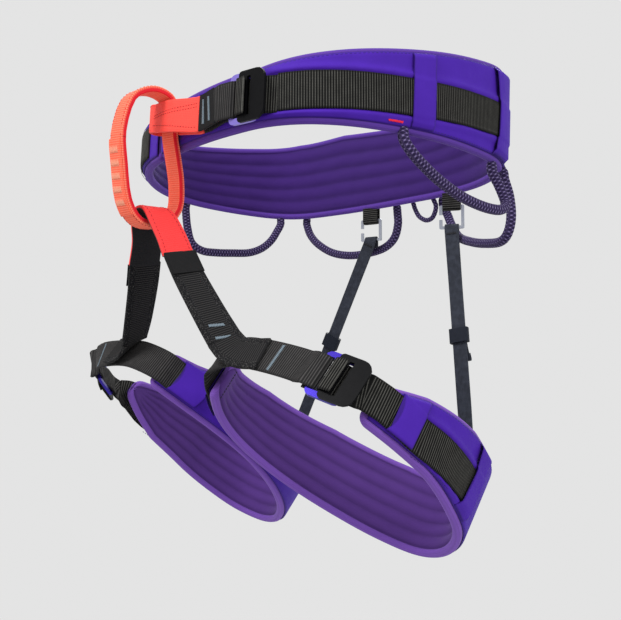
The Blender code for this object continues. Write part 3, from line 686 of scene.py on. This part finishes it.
def bar_tack(place, length, width, pitch=0.62):
    """A bar tack: close threads across its length. place(x, y) gives a point on the surface."""
    lines = []
    for i in range(int(length / pitch)):
        x = -length / 2 + i * pitch
        lean = pitch * 0.5 if i % 2 else -pitch * 0.5
        lines.append((place(x - lean, -width / 2), place(x + lean, width / 2)))
    return lines


def put(piece, body, nodes=()):
    """The piece rides on a body and stands for CAD nodes, which are hidden."""
    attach(piece, body)
    if nodes:
        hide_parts(*nodes)
    return piece


def sew(name, lines, radius, look, body):
    """Threads along the lines, put on a body."""
    put(threads(name, lines, radius, look), body)


# -------------------------------------------------------------------------------- pads and shells

def padding(name, wall, start, end, low, look, tip=5.0):
    """A foam pad: a rolled rim all round, and sewn channels along its inner face."""
    turns = [0.0, 0.05, 0.15, 0.3, 0.5, 0.75, 1.0]
    places = [start + tip * t for t in turns] + list(np.arange(start + tip + 1, end - tip - 0.5, PAD_STEP))
    places += [end - tip * t for t in reversed(turns)]
    rim_rows = np.linspace(0, PAD_EDGE, 13)
    rings, runs, painted_lighting_rows = [], [], []
    for along in places:
        near = min(1.0, min(along - start, end - along) / tip)
        roll = math.sqrt(max(0.0, 1 - (1 - near) ** 2))
        inset = tip * (1 - roll) * 0.8
        a, b = low(along) + inset, wall.top(along) - inset
        tall = b - a
        middle = np.linspace(PAD_EDGE, tall - PAD_EDGE, 37)[1:-1]
        up = np.concatenate([rim_rows, middle, tall - rim_rows[::-1]])
        edge = np.minimum(up, tall - up)
        curl = np.sqrt(np.clip(1 - (1 - np.minimum(edge, PAD_ROLL) / PAD_ROLL) ** 2, 0, 1))
        inner = 4.1 * curl - 1.5 * np.exp(-((edge - PAD_GROOVE) / 1.3) ** 2)
        share = np.clip((up - PAD_GROOVE) / (tall - 2 * PAD_GROOVE), 0, 1)
        ridge = np.abs(np.sin(math.pi * PAD_CHANNELS * share)) ** 1.1
        # The channels fade out towards the ends of the pad.
        fade = ease(4, 40, along - start) * ease(4, 40, end - along)
        inside = ease(PAD_GROOVE, PAD_GROOVE + 2.5, edge)
        inner += inside * (0.35 - 1.5 * fade * (1 - ridge))
        inner += inside * 0.25 * np.sin(along / 8.3 + 1.7 * np.sin(up / 9.0)) * np.sin(up / 6.1 + along / 31)
        thin = 0.35 + 0.65 * roll
        outs = np.concatenate([-inner * thin, (4.2 * curl * thin)[::-1][1:-1]])
        heights = np.concatenate([up, up[::-1][1:-1]]) + a
        rings.append(wall.ring(along, outs, heights))
        # Painted shade: the painted lighting falls down the middle of each sewn channel (less towards the pad's
        # ends), dips in the groove inside the rim, and is 0.85 on the rim and 0.6 on the outer face under the
        # shell.
        tone = np.where(edge < PAD_GROOVE, 0.85, 1 - fade * (1 - ridge) ** 1.5)
        tone = tone * (1 - 0.75 * np.exp(-((edge - PAD_GROOVE) / 0.9) ** 2))
        painted_lighting_rows.append(np.concatenate([tone, np.full(len(up) - 2, 0.6)]))
        flag = np.where(edge < PAD_GROOVE - 0.5, 1.0, 0.0)
        flags = np.concatenate([flag, flag[::-1][1:-1]])
        runs.append(np.stack([np.full(len(outs), along), heights, flags], -1))
    # The section runs up the inner face and down the outer one, so it is turned to face out.
    rings, runs, painted_lighting_rows = (np.array(rows)[:, ::-1] for rows in (rings, runs, painted_lighting_rows))
    return built(name, rings, runs, painted_lighting_rows, look, wall.side)


def cover(name, wall, start, end, profile, look, step=2.5, thick=SHELL_THICK, curve=(0.0, 0.0), ends=True):
    """A thin sewn cover. profile(along, share) gives (out, height) of its middle; curve bows its two ends."""
    count = max(4, int((end - start) / step))
    share = np.linspace(0, 1, COVER_ROWS)
    rings, runs, painted_lighting_rows = [], [], []
    for i in range(count + 1):
        t = i / count
        near = min(i, count - i)
        body = thick * (0.4 if near == 0 else 0.85 if near == 1 else 1.0)
        bow = curve[0] * (1 - t) + curve[1] * t
        alongs = [start + (end - start) * t + bow * (1 - (2 * v - 1) ** 2) for v in share]
        outs, heights = np.array([profile(a, v) for a, v in zip(alongs, share)]).T
        edge = np.minimum(share, 1 - share) * (heights[-1] - heights[0])
        skin = body / 2 * np.sqrt(np.clip(1 - (1 - np.minimum(edge, 0.8) / 0.8) ** 2, 0.05, 1))
        inner, outer = ([wall.ring(a, [o], [h])[0] for a, o, h in zip(alongs, out, heights)]
                        for out in (outs - skin, outs + skin))
        rings.append(inner[::-1] + outer)
        run = [(a, h, 0) for a, h in zip(alongs, heights)]
        runs.append(run[::-1] + run)
        # Painted shade: darker over the last 1.2 mm to each long edge, at the two cut ends when ends is true,
        # and 0.15 over the inner face.
        tone = np.clip(np.minimum(edge, 6) / 1.2, 0.25, 1)
        if ends:
            tone = tone * (0.35 + 0.65 * ease(0, 1.4, min(t, 1 - t) * (end - start)))
        painted_lighting_rows.append(np.concatenate([np.full(COVER_ROWS, 0.15), tone]))
    rings, runs, painted_lighting_rows = (np.array(rows)[:, ::-1] for rows in (rings, runs, painted_lighting_rows))
    return built(name, rings, runs, painted_lighting_rows, look, wall.side)


def band(name, wall, start, end, profile, look, curve, body, nodes=()):
    """A narrow cover over the webbing, put on its body."""
    made = cover(name, wall, start, end, profile, look, step=1.0, thick=COVER_THICK, curve=curve)
    put(made, body, nodes)


def shell_profile(wall, low, web, opened):
    """The shell lies on the pad and swells into a lip above and below the webbing's window."""
    def profile(along, share):
        a, b = low(along) + RIM, wall.top(along) - RIM
        height = a + (b - a) * share
        edge = min(height - a, b - height)
        from_web = abs(height - web(along)) - (WEB_WIDTH / 2 + 0.5)
        room = max(0.5, (b - a - WEB_WIDTH) / 2)
        lip = 2.1 * opened(along) * math.exp(-((from_web - min(2.2, room * 0.4)) / min(3.2, room * 0.6)) ** 2)
        lip *= float(ease(-0.6, 0.3, from_web)) * float(ease(0, 2.5, edge))
        fall = 0.9 * (1 - float(ease(0, 2.5, edge)))
        return SHELL_OUT + 0.15 + lip - fall, height
    return profile


def keeper_profile(wall, low, web, swell, rim=RIM + 0.6):
    """A band over the webbing: close to the shell at its ends and over the webbing in the middle."""
    def profile(along, share):
        a, b = low(along) + rim, wall.top(along) - rim
        height = a + (b - a) * share
        edge = min(height - a, b - height)
        from_web = abs(height - web(along)) - WEB_WIDTH / 2
        over = 1 - float(ease(0.5, 5.0, from_web))
        lift = KEEPER_FOOT + (COVER_OUT + swell - KEEPER_FOOT) * max(over, 0.75 * float(ease(1.0, 4.0, edge)))
        return lift - 0.8 * (1 - float(ease(0, 2.0, edge))), height
    return profile


def cover_seams(wall, low, web, windows, start, end):
    """Stitches beside the webbing in each window, and inside the cover's lower and upper edges."""
    def at(along, out, height):
        return mirrored(wall.point(along, out, height), wall.side)

    lines = []
    for first, last in windows:
        for k in (-1, 1):
            lines += seam(lambda s: at(s, SEAM_OUT, web(s) + k * (WEB_WIDTH / 2 + 3.0)), first, last)
    inset = RIM + 1.6
    for height in (lambda s: low(s) + inset, lambda s: wall.top(s) - inset):
        lines += seam(lambda s: at(s, SHELL_OUT + 0.35, height(s)), start, end)
    return lines


# -------------------------------------------------------------------------------- the parts

def waist(wall):
    """The belt's pad, shell, webbing, keepers and seams. Places along it are measured from its front."""
    lap = wall.length
    start, end = BELT_START, BELT_START + lap - BELT_OPENING

    def from_front(along):
        return min(along % lap, lap - along % lap)

    def web(along):
        return ramp(BELT_WEB, from_front(along))

    def opened(along):
        return float(ease(122, 138, from_front(along)))

    def low(along):
        return 0.0

    pad = padding("waist_lining", wall, start, end, low, "lining")
    put(pad, "waist_belt", ["waist_pad"])
    profile = shell_profile(wall, low, web, opened)
    outer = cover("waist_cover", wall, start + 3, end - 3, profile, "shell")
    put(outer, "waist_belt", ["waist_shell"])

    for side, a, b in (("left", 139, 369), ("right", lap - 369, lap - 46)):
        path = [wall.point(s, WEB_OUT, web(s)) for s in np.arange(a, b, 4.0)]
        strip = Strip(path, wall.up, WEB_WIDTH, WEB_THICK)
        ribbed = strip.mesh(f"waist_ribbed_{side}", "webbing")
        put(ribbed, "waist_belt", [f"waist_webbing_{side}"])

    for side in LEGS:
        for part, a, b, swell, bow in (("front", 241, 262, 0.1, 0.0), ("rear", 339, 375, 1.2, 6.0)):
            curve, profile = (bow, 0.0), keeper_profile(wall, low, web, swell)
            if side == "right":
                a, b, curve = lap - b, lap - a, (0.0, -bow)
            band(f"waist_{part}_keeper_band_{side}", wall, a, b, profile, "shell", curve, "waist_belt",
                 [f"waist_{part}_keeper_{side}"])

    windows = ((140, 239), (264, 338), (lap - 338, lap - 264), (lap - 239, lap - 50))
    seams = cover_seams(wall, low, web, windows, start + 16, end - 16)
    sew("waist_seams", seams, 0.28, "seam", "waist_belt")
    tacks = []
    for s in (228, lap - 236):
        tacks += bar_tack(lambda x, y: wall.point(s + x, TACK_OUT, 7.0 + y), 13, 2.2)
    sew("waist_red_tacks", tacks, 0.36, "red_thread", "waist_belt")


def front_fold():
    """Where a fixed strap folds round a frame's front bar: (along, out) from the frame's centre."""
    return arc(FRAME_REACH, 90, -90, 1.0 - (FRAME_LENGTH - FRAME_BAR) / 2)


def rear_fold():
    """Where webbing turns round a plate's bar and leaves under the frame, measured alike."""
    return [
        (PLATE_START + PLATE_BAR - 0.5, PLATE_RISE + PLATE_REACH + 1.4),
        *arc(PLATE_REACH, 90, 270, PLATE_START + 1.0, PLATE_RISE),
        (PLATE_START + 5.5, PLATE_RISE - PLATE_REACH - 0.6), (FRAME_LENGTH / 2 - 5.5, -FRAME_REACH),
        (FRAME_LENGTH / 2 + 5, -FRAME_REACH),
    ]


def waist_front(wall):
    """The upper tie-in's red sleeve, its stitched strap, and the webbing through the waist buckle."""
    middle = ramp(BELT_WEB, WAIST_BUCKLE)

    def on(along, out, lift=0.0):
        return wall.point(along, out, middle + lift)

    frame_out = WEB_OUT + FRAME_THICK / 2 + FOLD_GAP + WEB_THICK / 2
    run = (on(WAIST_BUCKLE + 5, frame_out) - on(WAIST_BUCKLE - 5, frame_out)).normalized()
    normal, origin = run.cross(wall.up), on(WAIST_BUCKLE, frame_out)

    def local(along, out):
        return origin + along * run + out * normal

    over, under = frame_out + FRAME_REACH, frame_out - FRAME_REACH
    path = [on(61.5, over, -3), on(67, over, -3), local(-24, FRAME_REACH), *(local(*p) for p in front_fold())]
    path += [local(-24, -FRAME_REACH), on(67, under, -3), on(61.5, under, -3)]
    strap = Strip(path, wall.up, WEB_WIDTH, WEB_THICK, blur=0.7)
    ribbed = strap.mesh("waist_strap_ribbed", "webbing_grey")
    put(ribbed, "waist_belt", ["waist_front_strap"])
    path = [strap.point(s, 0, 0.15) for s in np.arange(0.0, 21.1, 3)]
    patch = Strip(path, wall.up, WEB_WIDTH + 0.6, 0.9)
    plain = patch.mesh("waist_strap_patch", "patch", rib=0.05, pitch=PATCH_PITCH, radius=0.4)
    put(plain, "waist_belt")
    tacks = []
    for s in (6.0, 14.0):
        tacks += bar_tack(lambda x, y: patch.point(s + y, x * 0.9, 0.25), 23, 3.0)
    sew("waist_strap_tacks", tacks, 0.4, "tack", "waist_belt")

    path = [local(*p) for p in rear_fold()] + [on(s, WEB_OUT) for s in (136, 138.5)]
    free = Strip(path, wall.up, WEB_WIDTH, BUCKLED_THICK, blur=0.35)
    ribbed = free.mesh("waist_buckle_ribbed", "webbing", rib=0.16)
    put(ribbed, "waist_belt", ["waist_buckle_webbing"])

    front_out, back_out = WEB_OUT + 17.0, WEB_OUT + 0.6
    fold = (front_out - back_out) / 2
    # Each is (along, out, lift, width): out to the eye along the front, and home behind it.
    eye = [(60, over, -3, WEB_WIDTH), (56, over + 0.6, -3, WEB_WIDTH), (46, frame_out + 7, -2, 29),
           (34, front_out - 2, -0.5, 28), (20, front_out, 1.5, 27), (4, front_out, 3.5, 25)]
    for t in range(0, 181, 30):
        turn = math.radians(t)
        eye.append((-3 - fold * math.sin(turn), back_out + fold + fold * math.cos(turn), 5.5, TIE_IN_WIDTH))
    eye += [(0, back_out, 4.5, 24), (20, back_out, 2, 26), (40, back_out, -1, 28),
            (56, back_out, -3, WEB_WIDTH), (60, back_out, -3, WEB_WIDTH)]
    loop = Strip([on(*p[:3]) for p in eye], wall.up, [p[3] for p in eye], WEB_THICK + 0.4, blur=1.6)
    put(loop.mesh("upper_tie_in_sleeve", "red", rib=0.05, pitch=RED_PITCH), "waist_belt",
        ["upper_tie_in"])
    lines = []
    for rise, bend in ((9.5, -10.0), (6.5, -9.0), (-11.0, 6.0)):
        def curve(s):
            return loop.face(False, s, rise + bend * (s / 58) ** 1.3 * (1 - 0.25 * s / 58), 0.12)
        lines += seam(curve, 3, 62, stitch=1.7, gap=1.2)
    for edge in (-1, 1):
        lines += seam(lambda s: loop.face(False, s, edge * 10.8, 0.12), 62, 88, stitch=1.7, gap=1.2)
    sew("upper_tie_in_stitches", lines, 0.24, "dark_red_thread", "waist_belt")


def belay():
    route = [Vector((BELAY_SIDE + BELAY_LEAN * p.y, p.x, p.y)) for p in smooth(BELAY_ROUTE, 3, closed=True)]
    twist = math.radians(BELAY_TWIST)
    way = Vector((math.cos(twist), math.sin(twist), 0))
    loop = Strip([*route, *route[:2]], way, BELAY_WIDTH, BELAY_THICK)
    outward = loop.normal[2][1] < 0

    # The rounded edges, apart from the part near the outward face, are marked for the darker red: painted
    # shade.
    def sides(out):
        return np.where((out if outward else -out) > 0.6, 0.0, 1.0) * (np.abs(out) < 0.98)

    weave = {"rib": 0.12, "pitch": RED_PITCH}
    woven = loop.mesh("belay_webbing", "red_pale", radius=1.2, mark=sides, layers=0.5, **weave)
    put(woven, "belay", ["belay_loop"])
    path = [loop.face(outward, s, 0, 0.7) for s in np.arange(6.0, 72.0, 3.0)]
    over = Strip(path, way, BELAY_WIDTH - 1.5, 1.5)
    put(over.mesh("belay_overlap", "red_pale", radius=0.6, **weave), "belay")
    front = over.normal[2][1] < 0
    tacks = []
    for s in np.arange(9.0, 62.0, 11.0):
        tacks += bar_tack(lambda x, y: over.face(front, s + y, x, 0.2), 12.5, 6.0, pitch=0.75)
    sew("belay_tacks", tacks, 0.34, "pale_thread", "belay")
    lines = []
    for edge in (-1, 1):
        across = edge * (BELAY_WIDTH / 2 - 1.6)
        lines += seam(lambda s: loop.face(outward, s, across, 0.1), 2, loop.length - 12, 1.6, 1.5)
    sew("belay_stitches", lines, 0.26, "dark_red_thread", "belay")


def tie_in():
    """The lower tie-in's red saddle, and the two leg risers that hang from it."""
    across = Vector((0, 1, 0))
    path = smooth(SADDLE, 6)
    widths = [ramp(SADDLE_WIDTHS, i / (len(path) - 1)) for i in range(len(path))]
    saddle = Strip(path, across, widths, TIE_IN_THICK)
    outer = saddle.normal[len(saddle.at) // 2][2] > 0

    def under(out):
        return ((out if outer else -out) < -0.2).astype(float)

    put(saddle.mesh("lower_tie_in_saddle", "saddle", rib=0.06, pitch=RED_PITCH, radius=1.0, mark=under,
                    layers=0.3), "tie_in", ["lower_tie_in"])
    lines = []
    for edge in (-1, 1):
        def inside(s):
            return saddle.face(outer, s, edge * (ramp(SADDLE_WIDTHS, s / saddle.length) / 2 - 3.2), 0.1)
        lines += seam(inside, 2, saddle.length - 2, 2.0, 1.4)
    sew("lower_tie_in_stitches", lines, 0.26, "dark_red_thread", "tie_in")
    for side in LEGS:
        riser_tape(side, across)


def riser_tape(side, across):
    """A leg riser from under the saddle to its lap on the leg's strap; its stitches ride on the leg."""
    sign, up = (1 if side == "left" else -1), Vector(LEGS[side]["up"])
    riser = smooth(RISER, 4)
    last = len(riser) - 1
    lean = [across.lerp(Vector((0.05, 0.85, 0.5)), i / last).normalized() for i in range(last + 1)]
    if side == "right":
        riser = [p + Vector((3.2, -1, -3)) * (1 - i / last) + Vector((0, -2.8, 2.6)) * i / last
                 for i, p in enumerate(riser)]
    head = riser[0] + (riser[0] - riser[1]).normalized() * 4
    # The riser's foot is given twice, for a sharper bend on to the strap.
    path = smooth([head, *riser[::2], riser[-1], *RISER_LAP[side]], 4)
    ways = [lean[0], *lean[::2], lean[-1], lean[-1].lerp(up, 0.5), up, up]
    ways = [w for a, b in zip(ways, ways[1:]) for w in (a.lerp(b, t / 4) for t in range(4))] + [up]
    strip = Strip(path, ways, WEB_WIDTH, RISER_THICK, side=sign)
    front = strip.normal[len(strip.at) // 2][0] > 0
    start, end = (tuple(mirrored(p, sign) * METRES) for p in (riser[0], riser[2]))

    tape = strip.mesh(f"leg_riser_tape_{side}", "stitched", radius=1.0, layers=0.35, plain=6.0)
    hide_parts(f"leg_riser_{side}")
    path = [mirrored(strip.face(front, s, 0, 0.55), sign) for s in np.arange(1.0, 24.0, 3.0)]
    fold = Strip(path, lean[2], WEB_WIDTH + 1.2, 1.1, side=sign)
    patch = fold.mesh(f"leg_riser_patch_{side}", "patch", rib=0.04, pitch=PATCH_PITCH, radius=0.5)
    for piece in (tape, patch):
        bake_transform(piece)
    tacks, edges = [], []
    for s in (strip.length - 62, strip.length - 49):
        tacks += bar_tack(lambda x, y: strip.face(front, s + y + x * 0.25, x, 0.3), 13, 3.2)
    for edge in (-1, 1):
        edges += seam(lambda s: strip.face(front, s, edge * 9.2, 0.12), 30, strip.length - 40, 1.8, 1.2)
    sew(f"leg_riser_tacks_{side}", tacks, 0.42, "tack", f"leg_{side}")
    sew(f"leg_riser_stitches_{side}", edges, 0.24, "dark_thread", f"leg_{side}")


def leg_marks(start, end):
    """The multiples of LEG_STEP from start to end."""
    return [LEG_STEP * i for i in range(math.ceil(start / LEG_STEP), math.floor(end / LEG_STEP) + 1)]


def leg(side):
    """A leg loop's pad, shell, keepers, strap and webbing. Its wall, which comes back, is the left side's."""
    sign = 1 if side == "left" else -1
    facts = LEGS[side]
    body = f"leg_{side}"
    across, up = Vector(facts["across"]), Vector(facts["up"])
    wall = Wall(LEG_ORIGIN, across, up, facts["outline"], False, LEG_HEIGHTS, sign)
    end, join = wall.length, facts["join"]

    def low(s):
        return facts["rise"] * max(0.0, 1 - s / 65)

    def web(s):
        return ramp(LEG_WEB, s)

    def opened(s):
        return float(ease(join + 2, join + 10, s)) * (1 - float(ease(139, 150, s)))

    pad = padding(f"leg_lining_{side}", wall, 0, end, low, "lining_leg", tip=9.0)
    put(pad, body, [f"leg_pad_{side}"])
    profile = shell_profile(wall, low, web, opened)
    outer = cover(f"leg_cover_{side}", wall, 4, end - 4, profile, "shell")
    put(outer, body, [f"leg_shell_{side}"])
    for part, a, b, swell in (("front_keeper", join + 9, join + 34, 0.2), ("rear_keeper", 113, 139, 1.0)):
        band(f"leg_{part}_band_{side}", wall, a, b, keeper_profile(wall, low, web, swell), "shell",
             (5.0, 0.0), body, [f"leg_{part}_{side}"])
    tuck = keeper_profile(wall, low, lambda s: STRAP_END, 1.6, rim=RIM + 0.2)
    band(f"leg_end_band_{side}", wall, end - 47, end - 16, tuck, "shell", (-4.0, -5.0), body)

    inner = [wall.point(s, WEB_OUT, STRAP_END) for s in leg_marks(end - 40, end - 13)]
    inner.append(wall.point(end - 2, WEB_OUT + 1.4, STRAP_END))
    joined = [wall.point(join + s, WEB_OUT + out, web(join + s)) for s, out in ((0, 1), (10, 0), (20, 0))]
    steps = 4
    hung = [wall.place(Vector(p).xy, p[2]) for p in facts["strap"]]
    route = smooth(inner + hung + joined, steps)[: -2 * steps]
    centre = (len(inner) + facts["buckle"]) * steps
    run = (route[centre + 1] - route[centre - 1]).normalized()
    way = (wall.up - wall.up.dot(run) * run).normalized()
    way = Matrix.Rotation(math.radians(facts["twist"]), 3, run) @ way
    normal, origin = run.cross(way), route[centre]

    def local(along, out):
        return origin + along * run + out * normal

    path = [p for p in route[:centre] if (p - origin).length > FRAME_LENGTH / 2 + 9]
    lead, bound = len(path), len(inner) * steps
    path += [local(-20, FRAME_REACH), *(local(*p) for p in front_fold()), local(-20, -FRAME_REACH)]
    turning = [max(0, i - bound) / (lead - bound) for i in range(lead)]
    ways = [wall.up.lerp(way, t**1.5) for t in turning] + [way] * (len(path) - lead)
    strap = Strip(path, ways, WEB_WIDTH, WEB_THICK, side=sign, blur=0.9)
    put(strap.mesh(f"leg_strap_ribbed_{side}", "webbing_grey"), body, [f"leg_strap_{side}"])
    at = strap.length - 62
    tacks = bar_tack(lambda x, y: strap.point(at + y, x, 0.3), 25, 2.8)
    sew(f"leg_strap_tack_{side}", tacks, 0.4, "tack", body)

    path = [local(*p) for p in rear_fold()]
    lead = len(path)
    path += [p for p in route[centre:] if (p - origin).length > PLATE_END]
    bare = len(path)
    path += [wall.point(s, WEB_OUT, web(s)) for s in leg_marks(join + 2, 140)]
    ways = [way] * lead + [way.lerp(wall.up, min(1, 2.2 * i / (bare - lead))) for i in range(bare - lead)]
    ways += [wall.up] * (len(path) - bare)
    free = Strip(path, ways, WEB_WIDTH, BUCKLED_THICK, side=sign, blur=0.35)
    ribbed = free.mesh(f"leg_webbing_ribbed_{side}", "webbing", rib=0.16)
    put(ribbed, body, [f"leg_webbing_{side}"])

    seams = cover_seams(wall, low, web, [(join + 36, 112)], 18, end - 18)
    sew(f"leg_seams_{side}", seams, 0.28, "seam", body)
    corner = end - 9.5
    lines = seam(lambda h: mirrored(wall.point(corner, -4.7, h), sign), 5, wall.top(corner) - 5, 2.0, 0.9)
    sew(f"leg_end_seam_{side}", lines, 0.35, "dark_thread", body)

    foot = facts["anchor"]
    patch = cover(f"elastic_anchor_patch_{side}", wall, foot - 10, foot + 10,
                  lambda s, v: (WEB_OUT + 0.2 * math.sin(math.pi * v), 42 + (wall.top(s) - 47) * v),
                  "elastic", thick=WEB_THICK, step=2.0, ends=False)
    put(patch, body, [f"elastic_anchor_{side}"])
    return wall


def hangers(side, belt, leg_wall):
    """The tab under the belt, the elastic riser and its stitching, and its tail at the slider."""
    top = belt.point(HANGERS[side]["along"], 0, 0)
    turn = math.radians(HANGERS[side]["turn"])
    way, up = Vector((math.cos(turn), math.sin(turn), 0)), Vector((0, 0, 1))
    normal = way.cross(up)

    def hung(out, down):
        return top + out * normal - down * up

    fold = HOOK_THICK / 2 + 1 + TAB_THICK / 2
    bar = HOOK_TOP + HOOK_BAR / 2
    path = [hung(fold, -1.5), *(hung(x, bar + 0.6 - z) for x, z in arc(fold, 0, -180)), hung(-fold, -1.5)]
    tab = Strip(path, way, TAB_WIDTH, TAB_THICK, blur=0.6)
    ribbed = tab.mesh(f"rear_tab_ribbed_{side}", "webbing", rib=0.2)
    put(ribbed, "waist_belt", [f"rear_tab_{side}"])

    fold = HOOK_THICK / 2 + 0.5 + ELASTIC_THICK / 2
    bar = HOOK_TOP + HOOK_LENGTH - HOOK_BAR / 2
    head = [hung(-fold, bar + 9), *(hung(x, bar - 0.6 - z) for x, z in arc(fold, 180, 0))]
    head.append(hung(fold + 0.4, bar + 2))
    at = LEGS[side]["anchor"]
    foot = leg_wall.point(at, WEB_OUT + 1, leg_wall.top(at) - 2.6)
    tangent = (leg_wall.point(at - 4, 0, 0) - leg_wall.point(at + 4, 0, 0)).normalized()
    if side == "right":
        foot, tangent = mirrored(foot, -1), -mirrored(tangent, -1)
    run = foot - head[-1]
    shares = [i / 16 for i in range(1, 17)]
    path = head + [head[-1] + run * t for t in shares]
    middle = way.lerp(tangent, 0.35).normalized()
    ways = [way] * len(head)
    ways += [way.lerp(middle, min(1, t / 0.22)) for t in shares if t < 0.5]
    ways += [middle.lerp(tangent, max(0, (t - 0.7) / 0.3)) for t in shares if t >= 0.5]
    strip = Strip(path, ways, ELASTIC_WIDTH, ELASTIC_THICK, step=1.0, blur=0.7)
    woven = strip.mesh(f"elastic_woven_{side}", "elastic", rib=0.0, radius=0.6)
    put(woven, f"riser_{side}", [f"elastic_riser_{side}"])
    tack = bar_tack(lambda x, y: strip.point(24 + y, x, 0.2), 10, 2.4)
    sew(f"elastic_tack_{side}", tack, 0.32, "dark_thread", f"riser_{side}")

    # The elastic's spare end comes out of the slider, turns back and stands off it in a small sewn loop.
    along = run.normalized()
    across = (middle - middle.dot(along) * along).normalized()
    off = along.cross(across)
    seat = head[-1] + run * SLIDER_SHARE
    path = [seat + along * a + off * o for a, o in ELASTIC_TAIL]
    end = Strip(path, across, ELASTIC_WIDTH - 1.5, 1.3, step=1.0, blur=1.0)
    put(end.mesh(f"elastic_tail_{side}", "elastic", rib=0.0, radius=0.5), f"slider_{side}")


def hardware():
    """The CAD metal and moulded parts keep their shape, with rounded edges and finished surfaces."""
    for buckle in ("waist_buckle", "leg_buckle_left", "leg_buckle_right"):
        finish(f"{buckle}_frame", ["frame_pale" if buckle == "waist_buckle" else "frame"], 1.1)
        # The plates' bevelled edges take the second, pale grey look: a painted highlight.
        finish(f"{buckle}_plate", ["plate", "plate_edge_highlight"], 0.9, edge=1)
    for side in LEGS:
        finish(f"riser_hook_{side}", ["hook"], 0.6)
        finish(f"riser_slider_{side}", ["slider"], 0.5)


def finish(node, looks, width, edge=-1):
    """Rounds a CAD node's edges by width, with the look numbered edge on them (-1 leaves them as they are)."""
    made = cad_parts[node]
    made.data.materials.clear()
    for look in looks:
        made.data.materials.append(LOOKS[look])
    bevel = made.modifiers.new("rounded", "BEVEL")
    bevel.width, bevel.segments, bevel.limit_method = width * METRES, 4, "ANGLE"
    bevel.angle_limit = math.radians(40)
    bevel.material = edge
    bevel.harden_normals = False
    weighted = made.modifiers.new("normals", "WEIGHTED_NORMAL")
    weighted.keep_sharp = False


def rooted(points, lean):
    """The loop's points with both ends carried up and inwards, into the pad."""
    head, foot = Vector(points[0]), Vector(points[-1])
    first, last = (Vector((-lean * p.x, -lean * p.y, p.xy.length)) / p.xy.length for p in (head, foot))
    return [head + 13 * first, head + 6 * first, *points, foot + 6 * last, foot + 13 * last]


def cords():
    """The gear loops' and the haul loop's sleeves, each on its own swinging body."""
    for name, points in GEAR_LOOPS.items():
        made = tube(name + "_sleeve", rooted(points, 0.12), CORD_RADIUS, "sleeve")
        put(made, name + "_swing", [name])
    haul = tube("haul_loop_sleeve", rooted(HAUL_LOOP, 0.45), HAUL_RADIUS, "sleeve", 0.6, 14, 0.15)
    put(haul, "haul_loop_swing", ["haul_loop"])


# -------------------------------------------------------------------------------- stage

def stage():
    """The backdrop, a floor that fades out, the lamps and the camera, in metres."""
    scene = bpy.context.scene
    scene.view_settings.view_transform = "Standard"
    scene.view_settings.look = "None"
    world = bpy.data.worlds.new("studio")
    world.use_nodes = True
    background = world.node_tree.nodes["Background"]
    background.inputs["Color"].default_value = (0.775, 0.775, 0.775, 1)
    background.inputs["Strength"].default_value = 1.0
    scene.world = world

    low, high = CAD_BOX
    centre = (low + high) / 2
    radii, spokes = (0.3, 0.6, 0.9, 1.3), 64
    points, faces = [(0, 0, 0)], []
    for radius in radii:
        for k in range(spokes):
            turn = 2 * math.pi * k / spokes
            points.append((radius * math.cos(turn), radius * math.sin(turn), 0))
    for k in range(spokes):
        after = (k + 1) % spokes
        faces.append((0, 1 + k, 1 + after))
        for a in range(1, 1 + spokes * (len(radii) - 1), spokes):
            b = a + spokes
            faces.append((a + k, b + k, b + after, a + after))
    floor_mesh = bpy.data.meshes.new("floor")
    floor_mesh.from_pydata(points, [], faces)
    floor = bpy.data.objects.new("floor", floor_mesh)
    floor.location = (centre.x, centre.y, low.z - 0.35)
    scene.collection.objects.link(floor)
    look = Look("floor", roughness=0.95, specular=0.1)
    look.shader.inputs["Base Color"].default_value = (0.6, 0.6, 0.6, 1)
    place = look.add("TexCoord").outputs["Object"]
    reach = look.add("VectorMath", place, operation="LENGTH").outputs["Value"]
    look.set(look.shader.inputs["Alpha"], look.between(reach, 0.45, 1.2, 0.9, 0.0))
    floor_mesh.materials.append(look.material)

    def lamp(name, place, size, power):
        data = bpy.data.lights.new(name, "AREA")
        data.shape, data.size, data.energy = "DISK", size, power
        made = bpy.data.objects.new(name, data)
        made.location = place
        made.rotation_mode = "QUATERNION"
        made.rotation_quaternion = (Vector(place) - centre).to_track_quat("Z", "Y")
        scene.collection.objects.link(made)

    lamp("key", (0.1, -1.4, 1.4), 0.8, 34)
    lamp("fill", (1.7, 0.1, 0.6), 0.9, 14)
    lamp("back", (-0.9, 1.4, 1.2), 0.9, 14)

    camera = bpy.data.objects.new("camera", bpy.data.cameras.new("camera"))
    camera.location = (0.7103, -0.5160, -0.2199)
    camera.data.lens, camera.data.sensor_width = 52.8, 36.0
    camera.rotation_mode = "QUATERNION"
    camera.rotation_quaternion = (camera.location - Vector((0, 0, -0.16))).to_track_quat("Z", "Y")
    scene.collection.objects.link(camera)
    scene.camera = camera


def main():
    stage()
    belt = Wall(Vector((0, 0, BELT_DROP)), Vector((1, 0, 0)), Vector((0, BELT_SLOPE, 1)).normalized(),
                BELT_OUTLINE, True, BELT_HEIGHTS)
    waist(belt)
    waist_front(belt)
    belay()
    tie_in()
    for side in LEGS:
        hangers(side, belt, leg(side))
    cords()
    hardware()


main()
